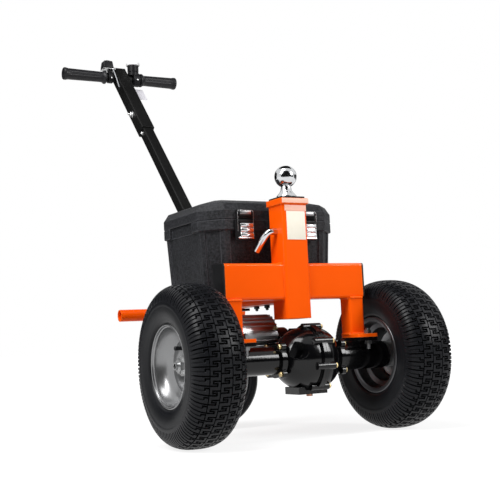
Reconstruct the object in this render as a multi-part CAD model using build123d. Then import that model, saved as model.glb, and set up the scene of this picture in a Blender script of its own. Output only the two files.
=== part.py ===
# Electric trailer dolly: two driven wheels on a transaxle, a hitch ball on a post,
# a battery box on a platform, a swivel caster behind and a telescopic tiller.
# Millimetres. +X is to the right seen from the hitch side, -Y is the hitch side, +Z is up.
# Sizes below are set with the drive axle at y = 0; every piece is moved back by
# ORIGIN_Y on export, so that the origin lies under the middle of the machine.
import os
from math import cos, radians, sin, tan

from build123d import *

FIT = 0.3                    # running clearance between pieces that turn or slide

# Drive wheels
TYRE_R = 172.5
TYRE_W = 118.0
TYRE_CROWN_W = 84.0          # width of the tread
TYRE_SHOULDER_R = 164.5      # radius at the edge of the tread
TYRE_BELLY_R = 132.0         # radius where the tyre is widest
TREAD_PITCHES = 21           # lugs on each shoulder
TREAD_DEPTH = 3.0
TREAD_NOTCH = 3.6            # gap between two lugs, degrees
TREAD_LUG_R = 143.0          # where the lugs run out on the side wall
TREAD_EDGE = 6.0             # where the gaps start, inside the tread's edge
TRACK = 520.0                # between the middles of the two drive wheels
RIM_BEAD_R = 76.2
RIM_FLANGE_R = 89.0
RIM_W = 102.0                # over the flanges
RIM_WELL_R = 64.0
RIM_WELL_W = 44.0
RIM_WALL = 4.0
DISC_OUT = 12.0              # wheel disc's middle, outboard of the tyre's middle
DISC_T = 6.0
HUB_R = 30.0
HUB_NOSE_R = 17.0
HUB_WASHER_R = 21.0
HUB_WASHER_T = 3.0
HUB_NUT_R = 16.0             # over the corners
HUB_NUT_H = 9.0
SHAFT_END_R = 8.5
SHAFT_END_L = 7.0
SHAFT_R = 12.5

# Axle and transaxle
AXLE_R = 31.0
AXLE_SHORT = 28.0            # axle tube's end, inboard of the wheel's middle
HUB_GAP = 6.0                # between axle tube end and hub
DIFF_X = 34.0                # plane where the two case halves meet
CASE_R = 70.0
CASE_LEFT_L = 90.0
CASE_LEG_GAP = 30.0          # between the case's right end and the leg
CASE_LIP_R = 77.0
CASE_LIP_T = 7.0
BULB_SHIFT = 4.0             # fullest part of the bulb, outboard of its middle
BULB_DROP = 8.0              # bulb's radius there, less than at the lip
NECK_R = {"left": 36.0, "right": 34.0}
NECK_L = 4.0
NECK_FLANGE_R = 39.0
NECK_FLANGE_T = 10.0
EAR_R = 9.0
EAR_CIRCLE_R = 42.0
EAR_COUNT = 4
BOSS_R = 8.0
BOSS_CIRCLE_R = 72.0
BOSS_COUNT = 8
BOSS_START = 13.0            # first boss, degrees above straight back
BOSS_LEFT_L = 24.0
BOSS_RIGHT_L = 22.0
BASE_W = 60.0                # flat foot under the case
BASE_H = 16.0
BASE_LEFT_L = 48.0
BASE_RIGHT_L = 25.0
POCKET_R = 19.0
POCKET_X = -23.0
POCKET_UP = 20.0             # above the axle's middle
POCKET_FLOOR = 38.0          # from the axle's middle
DRAIN_R = 7.0
DRAIN_H = 6.0
MOTOR_R = 46.0
MOTOR_L = 92.0
MOTOR_Y = 96.0
MOTOR_Z = 228.0
MOTOR_RIB_COUNT = 24
MOTOR_RIB_W = 4.0
MOTOR_RIB_H = 3.0
MOTOR_RIGHT_X = -14.0        # motor's drive end
GEAR_CASE_T = 40.0
GEAR_CASE_R = 40.0
GEAR_CASE_DROP = 22.0        # below the motor's middle

# Front frame
BEAM_TYRE_GAP = 23.0         # between beam end and tyre
BEAM_H = 80.0
BEAM_D = 50.0
BEAM_FRONT_Y = -20.0
BEAM_TOP_Z = 385.0
TUBE_WALL = 4.0
TUBE_CORNER = 6.0
CAP_T = 4.0
POST_S = 63.5
POST_FRONT_Y = -27.0
POST_BOTTOM_Z = 262.0
POST_TOP_Z = 530.0
POST_WALL = 5.0
COLLAR_S = 71.5
COLLAR_H = 13.0
PIN_Z = 458.0
PIN_R = 6.5
PIN_OUT = 8.0                # how far the pin stands out of the post before its bend
PIN_BEND = 63.0              # grip of the pin, from the pin's own line
PIN_BEND_R = 12.0
PIN_GRIP_L = 58.0
PIN_LEAN = 37.0              # grip of the pin, back from straight down
MOUNT_TUBE_L = 150.0
MOUNT_PLATE_S = 62.0
MOUNT_PLATE_T = 4.5
BALL_R = 25.4
BALL_NECK_R = 12.0
BALL_BASE_R = 23.0
BALL_BASE_H = 14.0
BALL_Z = 584.0               # middle of the ball
BALL_FLAT = 2.5              # cut off the top of the ball
LEG_W = 40.0
FOOT_OUT = 36.0              # plate's right end from the leg's middle
FOOT_FRONT_Y = -48.0
FOOT_BACK_Y = 22.0
FOOT_T = 8.0
FOOT_TOP_Z = 222.0
SADDLE_L = 44.0
SADDLE_W = 50.0
SADDLE_PAD_T = 8.0
FOOT_BOLT_R = 5.0
FOOT_BOLT_X = 14.0           # from the leg's middle
FOOT_BOLT_Y = -37.0
FOOT_BOLT_UP = 12.0          # thread above the foot plate
FOOT_BOLT_DOWN = 19.0        # thread below the saddle's pad
NUT_R = 9.0
NUT_H = 8.0

# Rear frame
SPINE_W = 60.0
SPINE_H = 30.0
SPINE_BOTTOM_Z = 299.0
PLATFORM_T = 5.0
PLATFORM_W = 300.0
PLATFORM_REAR_Y = 345.0
CROSSBAR_R = 16.0
CROSSBAR_WALL = 3.0
CROSSBAR_L = 374.0
CROSSBAR_Y = 590.0
CROSSBAR_RISE = 1.5          # crossbar's middle above the spine's underside
SLEEVE_R = 19.0               # welded sleeve round the crossbar's middle
SLEEVE_L = 70.0

# Battery box
BOX_W = 358.0
BOX_FRONT_Y = 56.0
BOX_L = 282.0
BOX_CHAMFER = 46.0
BOX_WALL = 4.0
RIM_Z = 492.5                # where lid and box meet
RIM_BAND_H = 24.0
BODY_INSET_TOP = 8.0
BODY_INSET_BOTTOM = 16.0
LID_SKIRT_H = 22.5
LID_SHOULDER_H = 16.0
LID_SHOULDER_INSET = 11.0
LID_ROOF_H = 13.0
LID_ROOF_INSET = 58.0
LID_WALL = 4.0
LATCH_X = 84.0
LATCH_GAP = 3.0              # latch pieces from the split line
LATCH_W = 44.0
LEVER_H = 40.0
LEVER_T = 4.0
LEVER_RIDGES = 3
LEVER_RIDGE_R = 3.5
LEVER_RIDGE_L = 28.0
CATCH_H = 14.0
CATCH_T = 9.0
HINGE_X = 90.0
HINGE_L = 36.0
HINGE_PIN_R = 3.0
HINGE_EYE_R = 7.0
HINGE_EYE_L = 14.0
BATTERY_W = 165.0
BATTERY_L = 175.0
BATTERY_H = 150.0

# Tiller
TILLER_ANGLE = 47.5          # above the floor
TILLER_FOOT_Y = 368.65       # lower end of the tiller's line
TILLER_FOOT_UP = 58.9        # above the spine
BAR_Z = 1078.0
UPPER_S = 40.0
UPPER_WALL = 3.5
UPPER_OVER = 30.0            # upper tube beyond the handlebar
UPPER_L = 326.0
LOWER_S = 32.0
LOWER_WALL = 3.0
LOWER_OVER = 65.0            # lower tube above the sleeve's bolt
TILLER_BOLT_R = 5.0
TILLER_HEAD_R = 9.0
TILLER_HEAD_T = 6.0
SLEEVE_BOLT_UP = 91.0        # cross bolt, above the upper tube's open end
BRACKET_T = 6.0
BRACKET_L = 82.0
BRACKET_FRONT = 23.65        # bracket's front edge, ahead of the tiller's foot
BRACKET_TOP_W = 52.0
BRACKET_BOLTS = (30.0, 74.0) # above the lower tube's end
HANDLEBAR_R = 11.0
HANDLEBAR_L = 376.0
GRIP_R = 18.0
GRIP_FLANGE_R = 21.5         # inner end
GRIP_FLANGE_T = 8.0
GRIP_TIP_R = 19.8
GRIP_TIP_T = 8.0
GRIP_END_T = 3.0
GRIP_GAP = {"left": 7.5, "right": 3.0}
SWITCH_CLAMP_X = -36.0
SWITCH_CLAMP_R = 18.0
SWITCH_CLAMP_L = 16.0
SWITCH_NECK_W = 12.0
SWITCH_NECK_D = 16.0
SWITCH_X = -44.5
SWITCH_W = 35.0
SWITCH_D = 34.0
SWITCH_TOP_W = 27.0
SWITCH_TOP_D = 28.0
SWITCH_H = 25.0
SWITCH_UP = 27.0             # case's foot above the bar's middle
SWITCH_PLATE_T = 2.0
SWITCH_PLATE_W = 40.0
LEAD_R = 1.6
LEAD_X = -30.0               # where the lead leaves the switch
LEAD_AHEAD = 14.0            # and how far in front of the bar
LEAD_GROMMET_R = 5.0
LEAD_GROMMET_T = 3.0
LEAD_GROMMET_AT = 60.0       # below the bar, along the tiller
LEAD_ROUNDING = 0.45         # share of the shorter run that the bend takes
LEAD_BOW = 5.0               # how far the lead bows forward on its way
THROTTLE_X = 44.0
THROTTLE_R = 18.0
THROTTLE_H = 34.0
THROTTLE_CLAMP_X = 51.0
THROTTLE_CLAMP_R = 22.0
THROTTLE_CLAMP_L = 22.0
THROTTLE_CAP_R = 22.0
THROTTLE_CAP_H = 11.0

# Swivel caster
CASTER_R = 127.0
CASTER_W = 46.0
CASTER_CROWN_W = 30.0
CASTER_SHOULDER_R = 122.0
CASTER_BELLY_R = 115.0
CASTER_RIM_R = 98.0
CASTER_FLANGE_R = 104.0
CASTER_RIM_W = 34.0
CASTER_LIP = 3.0
CASTER_HUB_R = 20.0
CASTER_DISC_T = 6.0
CASTER_AXLE_R = 8.0
AXLE_HEAD_R = 14.0
SWIVEL_Y = 340.0
CASTER_TRAIL = 50.0
CASTER_TURN = 65.0           # how far the caster stands turned about its swivel
FORK_GAP = 6.0               # between tyre and fork leg
FORK_T = 6.0
FORK_CORNER = 5.0
FORK_CROWN_Z = 262.0
FORK_LEG_TOP_W = 60.0
FORK_EYE_R = 20.0
STEM_R = 12.0
BEARING_R = 34.0
BEARING_H = 18.0
SWIVEL_GAP = 5.0
MOUNT_PAD_S = 100.0
MOUNT_PAD_T = 6.0

# Shape of a tyre's section: how far its bends lie between the widths and heights at their ends
KNEE_OUT = 0.72
KNEE_UP = 0.1
WALL_IN = 0.2

# Places that follow from the sizes
TILLER_COS = cos(radians(TILLER_ANGLE))
TILLER_SIN = sin(radians(TILLER_ANGLE))
SPINE_TOP_Z = SPINE_BOTTOM_Z + SPINE_H
TILLER_FOOT_Z = SPINE_TOP_Z + TILLER_FOOT_UP
LOWER_END = (BAR_Z - TILLER_FOOT_Z) / TILLER_SIN
BAR_Y = TILLER_FOOT_Y + LOWER_END * TILLER_COS
REAR_REACH = BAR_Y + max(GRIP_FLANGE_R, UPPER_OVER * TILLER_COS + UPPER_S / 2 * TILLER_SIN)
ORIGIN_Y = (REAR_REACH - TYRE_R) / 2
SLEEVE_BOLT_AT = UPPER_L - UPPER_OVER - SLEEVE_BOLT_UP
LOWER_START = SLEEVE_BOLT_AT - LOWER_OVER
TILLER_BOLTS_AT = (SLEEVE_BOLT_AT, *(LOWER_END - above for above in BRACKET_BOLTS))
BRACKET_X = LOWER_S / 2 + FIT
GRIP_INNER_X = {"left": SWITCH_CLAMP_L / 2 - SWITCH_CLAMP_X + GRIP_GAP["left"],
                "right": THROTTLE_CLAMP_X + THROTTLE_CLAMP_L / 2 + GRIP_GAP["right"]}
AXLE_END = TRACK / 2 - AXLE_SHORT
BEAM_L = TRACK - TYRE_W - 2 * BEAM_TYRE_GAP
BEAM_BOTTOM_Z = BEAM_TOP_Z - BEAM_H
BEAM_Y = BEAM_FRONT_Y + BEAM_D / 2
POST_Y = POST_FRONT_Y + POST_S / 2
POST_BACK_Y = POST_FRONT_Y + POST_S
MOUNT_TOP_Z = POST_TOP_Z + MOUNT_PLATE_T
LEG_X = BEAM_L / 2 - LEG_W / 2
FOOT_BOTTOM_Z = FOOT_TOP_Z - FOOT_T
SADDLE_TOP_Z = FOOT_BOTTOM_Z - SADDLE_PAD_T
AXLE_Z = TYRE_R
PLATFORM_TOP_Z = SPINE_TOP_Z + PLATFORM_T
BOX_REAR_Y = BOX_FRONT_Y + BOX_L
BOX_Y = BOX_FRONT_Y + BOX_L / 2
LID_Z = RIM_Z + FIT
SHOULDER_Z = LID_Z + LID_SKIRT_H
ROOF_Z = SHOULDER_Z + LID_SHOULDER_H + LID_ROOF_H
HINGE_Y = BOX_REAR_Y + HINGE_EYE_R
HINGE_Z = RIM_Z + FIT / 2
CROSSBAR_Z = SPINE_BOTTOM_Z + CROSSBAR_RISE
CASTER_Y = SWIVEL_Y + CASTER_TRAIL
DIFF_LEFT_X = DIFF_X - CASE_LEFT_L
DIFF_RIGHT_X = LEG_X - LEG_W / 2 - CASE_LEG_GAP
PAD_BOTTOM_Z = SPINE_BOTTOM_Z - MOUNT_PAD_T
FORK_CROWN_TOP_Z = FORK_CROWN_Z + FORK_T


def rounded_tube(width, depth, length, wall, corner):
    """Upright tube of rounded rectangular section, foot at z = 0."""
    outer = extrude(RectangleRounded(width, depth, corner), amount=length)
    inner = extrude(RectangleRounded(width - 2 * wall, depth - 2 * wall, corner / 2), amount=length)
    return outer - inner


def along_x(shape):
    """Turns an upright shape so that its foot is at x = 0 and it runs along +X."""
    return Rot(0, 90, 0) * shape


def rod_x(radius, start, end):
    """Round bar along X between two places."""
    return Pos((start + end) / 2, 0, 0) * Rot(0, 90, 0) * Cylinder(radius, end - start)


def spun_x(*edges):
    """Solid spun about X from edges of a closed outline, x along the axis and y the radius."""
    return revolve(make_face(edges), Axis.X, 360)


def spun_outline(points):
    """Solid spun about X from a closed outline of straight lines."""
    return revolve(make_face(Polyline(*points, close=True)), Axis.X, 360)


def octagon(inset, height):
    """Plan of the battery box at a height, with corners cut at 45 degrees."""
    width = BOX_W / 2 - inset
    length = BOX_L / 2 - inset
    cut = BOX_CHAMFER - inset * (2 - 2 ** 0.5)
    quarter = [(width, length - cut), (width - cut, length)]
    points = quarter + [(-x, y) for x, y in reversed(quarter)]
    points += [(-x, -y) for x, y in quarter] + [(x, -y) for x, y in reversed(quarter)]
    return Pos(0, BOX_Y, height) * make_face(Polyline(*points, close=True))


def on_tiller(distance, shape):
    """Puts an upright shape on the tiller's line, its +Z pointing up along it.
    Distance is measured down from the handlebar."""
    y = BAR_Y - distance * TILLER_COS
    z = BAR_Z - distance * TILLER_SIN
    return Pos(0, y, z) * Rot(-(90 - TILLER_ANGLE), 0, 0) * shape


def tyre(radius, width, crown, shoulder_r, belly_r, flange_r, bead_r, bead_w):
    """Tyre about X: tread, shoulders, bellied walls down to the rim flange and the bead inside it.
    Its section is straight lines, so that it stays light."""
    crown_x = crown / 2
    belly_x = width / 2
    bead_x = bead_w / 2
    wall = (belly_x + WALL_IN * (bead_x - belly_x), (belly_r + flange_r) / 2)
    half = [(crown_x / 2, radius), (crown_x, shoulder_r), knee(width, crown, shoulder_r, belly_r),
            (belly_x, belly_r), wall, (bead_x, flange_r + FIT), (bead_x, bead_r)]
    return spun_outline(half + [(-x, r) for x, r in reversed(half)])


def knee(width, crown, shoulder_r, belly_r):
    """Bend of a tyre's section between the tread's edge and the belly."""
    return (crown + KNEE_OUT * (width - crown)) / 2, (shoulder_r + belly_r) / 2 + KNEE_UP * width / 2


def tread_cuts():
    """What is cut from a drive tyre: on each shoulder, gaps between lugs that follow the shoulder down to the
    side wall. The two shoulders are half a pitch apart."""
    knee_x, knee_r = knee(TYRE_W, TYRE_CROWN_W, TYRE_SHOULDER_R, TYRE_BELLY_R)
    start_x = TYRE_CROWN_W / 2 - TREAD_EDGE
    floor = [(start_x, TYRE_SHOULDER_R - TREAD_DEPTH / 2), (knee_x - TREAD_DEPTH, knee_r - TREAD_DEPTH / 2),
             (TYRE_W / 2 - TREAD_DEPTH / 2, TREAD_LUG_R)]
    gap_face = make_face(Polyline(*floor, (TYRE_W, TYRE_R), (start_x, TYRE_R), close=True))
    right_gap = revolve(gap_face, Axis.X, TREAD_NOTCH)
    left_gap = Rot(180 / TREAD_PITCHES, 0, 0) * mirror(right_gap, Plane.YZ)
    return [Rot(360 * index / TREAD_PITCHES, 0, 0) * gap
            for index in range(TREAD_PITCHES) for gap in (right_gap, left_gap)]


def wheel_rim(side):
    """Pressed rim with drop well, rolled flanges and a disc set deep in it."""
    flange = RIM_W / 2
    seat = flange - RIM_WALL
    well = RIM_WELL_W / 2
    slope = well + (RIM_BEAD_R - RIM_WELL_R)
    outer = [(-flange, RIM_FLANGE_R), (-seat, RIM_FLANGE_R), (-seat, RIM_BEAD_R), (-slope, RIM_BEAD_R)]
    outer += [(-well, RIM_WELL_R), (well, RIM_WELL_R), (slope, RIM_BEAD_R), (seat, RIM_BEAD_R)]
    outer += [(seat, RIM_FLANGE_R), (flange, RIM_FLANGE_R)]
    inner = [(flange, RIM_BEAD_R - RIM_WALL), (slope, RIM_BEAD_R - RIM_WALL), (well, RIM_WELL_R - RIM_WALL)]
    inner += [(-x, r) for x, r in reversed(inner)]
    barrel = spun_outline(outer + inner)
    disc_x = side * DISC_OUT
    disc = rod_x(RIM_WELL_R, disc_x - DISC_T / 2, disc_x + DISC_T / 2)
    bore = rod_x(HUB_NOSE_R + FIT, -RIM_W, RIM_W)
    return barrel + (disc - bore)


def wheel_hub(side):
    """Hub with its flange against the wheel disc, the half shaft inboard and the shaft's nut outside."""
    disc_face = TRACK / 2 + DISC_OUT - DISC_T / 2
    nose_end = disc_face + DISC_T
    nut_start = nose_end + HUB_WASHER_T
    nut_end = nut_start + HUB_NUT_H
    hub = rod_x(HUB_R, AXLE_END + HUB_GAP, disc_face)
    hub += rod_x(SHAFT_R, DIFF_RIGHT_X + CASE_LIP_T, disc_face)
    hub += rod_x(HUB_NOSE_R, disc_face, nose_end)
    hub += rod_x(HUB_WASHER_R, nose_end, nut_start)
    hub += Pos(nut_start, 0, 0) * along_x(extrude(RegularPolygon(HUB_NUT_R, 6), amount=HUB_NUT_H))
    hub += rod_x(SHAFT_END_R, nut_end, nut_end + SHAFT_END_L)
    hub = Pos(0, 0, AXLE_Z) * hub
    return hub if side > 0 else mirror(hub, Plane.YZ)


def axle_tube(side):
    """Axle tube from the transaxle's neck to the hub."""
    start = DIFF_RIGHT_X if side > 0 else -DIFF_LEFT_X
    tube = rod_x(AXLE_R, start, AXLE_END) - rod_x(SHAFT_R + FIT, start, AXLE_END)
    tube = Pos(0, 0, AXLE_Z) * tube
    return tube if side > 0 else mirror(tube, Plane.YZ)


def rods_round(count, first, circle_r, radius, start, end):
    """Ring of rods that run along X between two places, the first at an angle from straight back."""
    ring = Part()
    for index in range(count):
        angle = radians(first + 360 * index / count)
        ring += Pos(0, circle_r * cos(angle), circle_r * sin(angle)) * rod_x(radius, start, end)
    return ring


def case_half(name, outer_end, boss_l, base_l):
    """Half of the transaxle case: lip at the joint, bulb, neck, neck flange with ears, bolt bosses
    round the joint and its part of the flat foot."""
    side = 1 if outer_end > DIFF_X else -1
    lip_end = DIFF_X + side * CASE_LIP_T
    flange_start = outer_end - side * NECK_FLANGE_T
    bulb_end = flange_start - side * NECK_L
    neck_r = NECK_R[name]
    middle = ((lip_end + bulb_end) / 2 + side * BULB_SHIFT, CASE_R - BULB_DROP)
    bulb = ThreePointArc((lip_end, CASE_R), middle, (bulb_end, neck_r))
    rest = Polyline((bulb_end, neck_r), (flange_start, neck_r), (flange_start, NECK_FLANGE_R),
                    (outer_end, NECK_FLANGE_R), (outer_end, 0), (DIFF_X, 0), (DIFF_X, CASE_LIP_R),
                    (lip_end, CASE_LIP_R), (lip_end, CASE_R))
    case = spun_x(bulb, *rest.edges())
    boss_end = DIFF_X + side * boss_l
    case += rods_round(BOSS_COUNT, BOSS_START, BOSS_CIRCLE_R, BOSS_R,
                       min(DIFF_X, boss_end), max(DIFF_X, boss_end))
    case += rods_round(EAR_COUNT, 180 / EAR_COUNT, EAR_CIRCLE_R, EAR_R,
                       min(flange_start, outer_end), max(flange_start, outer_end))
    base = Pos(DIFF_X + side * base_l / 2, 0, BASE_H / 2 - CASE_LIP_R) * Box(base_l, BASE_W, BASE_H)
    return Pos(0, 0, AXLE_Z) * (case + base)


def case_left():
    """Left case half, with a round pocket in its front wall."""
    pocket = Cylinder(POCKET_R, CASE_R, align=(Align.CENTER, Align.CENTER, Align.MIN))
    pocket = Pos(POCKET_X, -POCKET_FLOOR, AXLE_Z + POCKET_UP) * Rot(90, 0, 0) * pocket
    return case_half("left", DIFF_LEFT_X, BOSS_LEFT_L, BASE_LEFT_L) - pocket


def drain_plug():
    """Plug under the transaxle's case."""
    plug = Cylinder(DRAIN_R, DRAIN_H, align=(Align.CENTER, Align.CENTER, Align.MAX))
    return Pos(DIFF_X - CASE_LIP_T / 2, 0, AXLE_Z - CASE_LIP_R) * plug


def motor_body():
    """Motor shell with lengthwise cooling ribs."""
    shell = Cylinder(MOTOR_R, MOTOR_L)
    for index in range(MOTOR_RIB_COUNT):
        rib = Box(2 * MOTOR_RIB_H, MOTOR_RIB_W, MOTOR_L)
        shell += Rot(0, 0, 360 * index / MOTOR_RIB_COUNT) * Pos(MOTOR_R, 0, 0) * rib
    return Pos(MOTOR_RIGHT_X - MOTOR_L / 2, MOTOR_Y, MOTOR_Z) * Rot(0, 90, 0) * shell


def gear_case():
    """Gear case that joins the motor's end to the back of the transaxle."""
    middle_x = MOTOR_RIGHT_X + GEAR_CASE_T / 2
    gear_z = MOTOR_Z - GEAR_CASE_DROP
    case = Pos(middle_x, MOTOR_Y, gear_z) * Rot(0, 90, 0) * Cylinder(GEAR_CASE_R, GEAR_CASE_T)
    case += Pos(middle_x, MOTOR_Y / 2, (gear_z + AXLE_Z) / 2) * Box(GEAR_CASE_T, MOTOR_Y, GEAR_CASE_R)
    return case - Pos(0, 0, AXLE_Z) * rod_x(BOSS_CIRCLE_R + BOSS_R + FIT, -TRACK, TRACK)


def cross_beam():
    """Front beam: a length of box tube welded to each side of the post."""
    length = (BEAM_L - POST_S) / 2
    half = along_x(rounded_tube(BEAM_H, BEAM_D, length, TUBE_WALL, TUBE_CORNER))
    right = Pos(POST_S / 2, BEAM_Y, BEAM_BOTTOM_Z + BEAM_H / 2) * half
    return [right, mirror(right, Plane.YZ)]


def beam_end_caps():
    """Plastic plugs in the open ends of the beam."""
    head = extrude(RectangleRounded(BEAM_H, BEAM_D, TUBE_CORNER), amount=CAP_T)
    right = Pos(BEAM_L / 2, BEAM_Y, BEAM_BOTTOM_Z + BEAM_H / 2) * along_x(head)
    return [right, mirror(right, Plane.YZ)]


def receiver_post():
    """Square post that takes the ball mount, with a cross hole for its pin."""
    post = rounded_tube(POST_S, POST_S, POST_TOP_Z - POST_BOTTOM_Z, POST_WALL, TUBE_CORNER)
    post = Pos(0, POST_Y, POST_BOTTOM_Z) * post
    return post - Pos(0, POST_Y, PIN_Z) * rod_x(PIN_R + FIT, -POST_S, POST_S)


def post_collar():
    """Welded band round the mouth of the post."""
    band = extrude(RectangleRounded(COLLAR_S, COLLAR_S, TUBE_CORNER), amount=COLLAR_H)
    band -= extrude(RectangleRounded(POST_S, POST_S, TUBE_CORNER), amount=COLLAR_H)
    return Pos(0, POST_Y, POST_TOP_Z - COLLAR_H) * band


def ball_mount():
    """Tube that slides in the post, with the plate that carries the ball."""
    side = POST_S - 2 * POST_WALL - 2 * FIT
    tube = rounded_tube(side, side, MOUNT_TUBE_L, TUBE_WALL, TUBE_CORNER / 2)
    tube = Pos(0, POST_Y, POST_TOP_Z - MOUNT_TUBE_L) * tube
    plate = extrude(RectangleRounded(MOUNT_PLATE_S, MOUNT_PLATE_S, TUBE_CORNER), amount=MOUNT_PLATE_T)
    mount = tube + Pos(0, POST_Y, POST_TOP_Z) * plate
    return mount - Pos(0, POST_Y, PIN_Z) * rod_x(PIN_R + FIT, -POST_S, POST_S)


def hitch_ball():
    """Ball with a flat top, a short neck and a sloped round base."""
    upward = (Align.CENTER, Align.CENTER, Align.MIN)
    centre_z = BALL_Z - MOUNT_TOP_Z
    base = Cone(BALL_BASE_R, BALL_NECK_R, BALL_BASE_H, align=upward)
    neck = Cylinder(BALL_NECK_R, centre_z, align=upward)
    ball = Pos(0, 0, centre_z) * Sphere(BALL_R)
    cut = Pos(0, 0, centre_z + BALL_R - BALL_FLAT) * Cylinder(BALL_R, BALL_R, align=upward)
    return Pos(0, POST_Y, MOUNT_TOP_Z) * (base + neck + ball - cut)


def hitch_pin():
    """Round pin through post and mount, bent down and back at its left end."""
    bend_x = -POST_S / 2 - PIN_OUT
    drop = PIN_GRIP_L * sin(radians(PIN_BEND))
    end = (bend_x - PIN_GRIP_L * cos(radians(PIN_BEND)), POST_Y + drop * sin(radians(PIN_LEAN)),
           PIN_Z - drop * cos(radians(PIN_LEAN)))
    start = (POST_S / 2 + PIN_OUT, POST_Y, PIN_Z)
    path = FilletPolyline(start, (bend_x, POST_Y, PIN_Z), end, radius=PIN_BEND_R)
    section = Plane(path @ 0, z_dir=path % 0) * Circle(PIN_R)
    return sweep(section, path=path)


def legs():
    """Square legs from the beam's ends down to the axle."""
    leg = rounded_tube(LEG_W, LEG_W, BEAM_BOTTOM_Z - FOOT_TOP_Z, TUBE_WALL, TUBE_CORNER)
    right = Pos(LEG_X, BEAM_FRONT_Y + LEG_W / 2, FOOT_TOP_Z) * leg
    return [right, mirror(right, Plane.YZ)]


def foot_plan(thick):
    """Plate of the feet's outline, its underside at z = 0, drilled for the bolt. It is flush with the leg on
    the left and stands out on the right, and both feet are the same."""
    length = FOOT_OUT + LEG_W / 2
    width = FOOT_BACK_Y - FOOT_FRONT_Y
    plate = extrude(RectangleRounded(length, width, TUBE_CORNER), amount=thick)
    plate = Pos((FOOT_OUT - LEG_W / 2) / 2, (FOOT_FRONT_Y + FOOT_BACK_Y) / 2, 0) * plate
    return plate - Pos(FOOT_BOLT_X, FOOT_BOLT_Y, thick / 2) * Cylinder(FOOT_BOLT_R + FIT, 2 * thick)


def foot_plates():
    """Plates under the legs."""
    return [Pos(x, 0, FOOT_BOTTOM_Z) * foot_plan(FOOT_T) for x in (-LEG_X, LEG_X)]


def axle_saddles():
    """Pads under the foot plates, each on a block that is hollowed to the axle tube."""
    height = SADDLE_TOP_Z - AXLE_Z
    saddle = Pos(0, 0, AXLE_Z + height / 2) * Box(SADDLE_L, SADDLE_W, height)
    saddle -= Pos(0, 0, AXLE_Z) * rod_x(AXLE_R + FIT, -SADDLE_L, SADDLE_L)
    saddle += Pos(0, 0, SADDLE_TOP_Z) * foot_plan(SADDLE_PAD_T)
    return [Pos(x, 0, 0) * saddle for x in (-LEG_X, LEG_X)]


def foot_bolts():
    """Bolt through each foot plate and pad, with a nut above and a nut below."""
    top = FOOT_TOP_Z + FOOT_BOLT_UP
    bottom = SADDLE_TOP_Z - FOOT_BOLT_DOWN
    bolt = Pos(0, 0, (top + bottom) / 2) * Cylinder(FOOT_BOLT_R, top - bottom)
    nut = extrude(RegularPolygon(NUT_R, 6), amount=NUT_H)
    bolt += Pos(0, 0, FOOT_TOP_Z) * nut
    bolt += Pos(0, 0, SADDLE_TOP_Z - NUT_H) * nut
    return [Pos(x + FOOT_BOLT_X, FOOT_BOLT_Y, 0) * bolt for x in (-LEG_X, LEG_X)]


def spine_tube():
    """Box tube from the post back to the rear crossbar."""
    tube = Rot(-90, 0, 0) * rounded_tube(SPINE_W, SPINE_H, CROSSBAR_Y - POST_BACK_Y, TUBE_WALL, TUBE_CORNER)
    tube = Pos(0, POST_BACK_Y, SPINE_BOTTOM_Z + SPINE_H / 2) * tube
    return tube - Pos(0, CROSSBAR_Y, CROSSBAR_Z) * rod_x(SLEEVE_R, -SPINE_W, SPINE_W)


def platform():
    """Plate on the spine that carries the battery box."""
    length = PLATFORM_REAR_Y - POST_BACK_Y
    plate = extrude(RectangleRounded(PLATFORM_W, length, TUBE_CORNER), amount=PLATFORM_T)
    return Pos(0, POST_BACK_Y + length / 2, SPINE_TOP_Z) * plate


def rear_crossbar():
    """Round tube across the tail of the spine, with a sleeve where it is welded on."""
    half = CROSSBAR_L / 2
    bar = rod_x(CROSSBAR_R, -half, half) + rod_x(SLEEVE_R, -SLEEVE_L / 2, SLEEVE_L / 2)
    bar -= rod_x(CROSSBAR_R - CROSSBAR_WALL, -half, half)
    return Pos(0, CROSSBAR_Y, CROSSBAR_Z) * bar


def battery_box():
    """Open moulded box with drafted walls and a thick rim band."""
    band_z = RIM_Z - RIM_BAND_H
    body = loft([octagon(BODY_INSET_BOTTOM, PLATFORM_TOP_Z), octagon(BODY_INSET_TOP, band_z)])
    floor_z = PLATFORM_TOP_Z + BOX_WALL
    hollow = loft([octagon(BODY_INSET_BOTTOM + BOX_WALL, floor_z), octagon(BODY_INSET_TOP + BOX_WALL, RIM_Z)])
    band = extrude(octagon(0, band_z), amount=RIM_BAND_H)
    return body + band - hollow


def box_lid():
    """Hollow lid: upright skirt, steep shoulder and a low hipped roof, with its hinge eyes behind."""
    roof_foot_z = SHOULDER_Z + LID_SHOULDER_H
    lid = extrude(octagon(0, LID_Z), amount=LID_SKIRT_H)
    lid += loft([octagon(0, SHOULDER_Z), octagon(LID_SHOULDER_INSET, roof_foot_z)])
    lid += loft([octagon(LID_SHOULDER_INSET, roof_foot_z), octagon(LID_ROOF_INSET, ROOF_Z)])
    lid -= extrude(octagon(LID_WALL, LID_Z), amount=LID_SKIRT_H)
    lid -= loft([octagon(LID_WALL, SHOULDER_Z), octagon(LID_SHOULDER_INSET + LID_WALL, roof_foot_z)])
    for x in (-HINGE_X, HINGE_X):
        eye = rod_x(HINGE_EYE_R, -HINGE_EYE_L / 2, HINGE_EYE_L / 2)
        web = Pos(0, -HINGE_EYE_R / 2, LID_SKIRT_H / 4) * Box(HINGE_EYE_L, HINGE_EYE_R, LID_SKIRT_H / 2)
        bore = rod_x(HINGE_PIN_R + FIT, -HINGE_EYE_L, HINGE_EYE_L)
        lid += Pos(x, HINGE_Y, HINGE_Z) * (eye + web - bore)
    return lid


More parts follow.
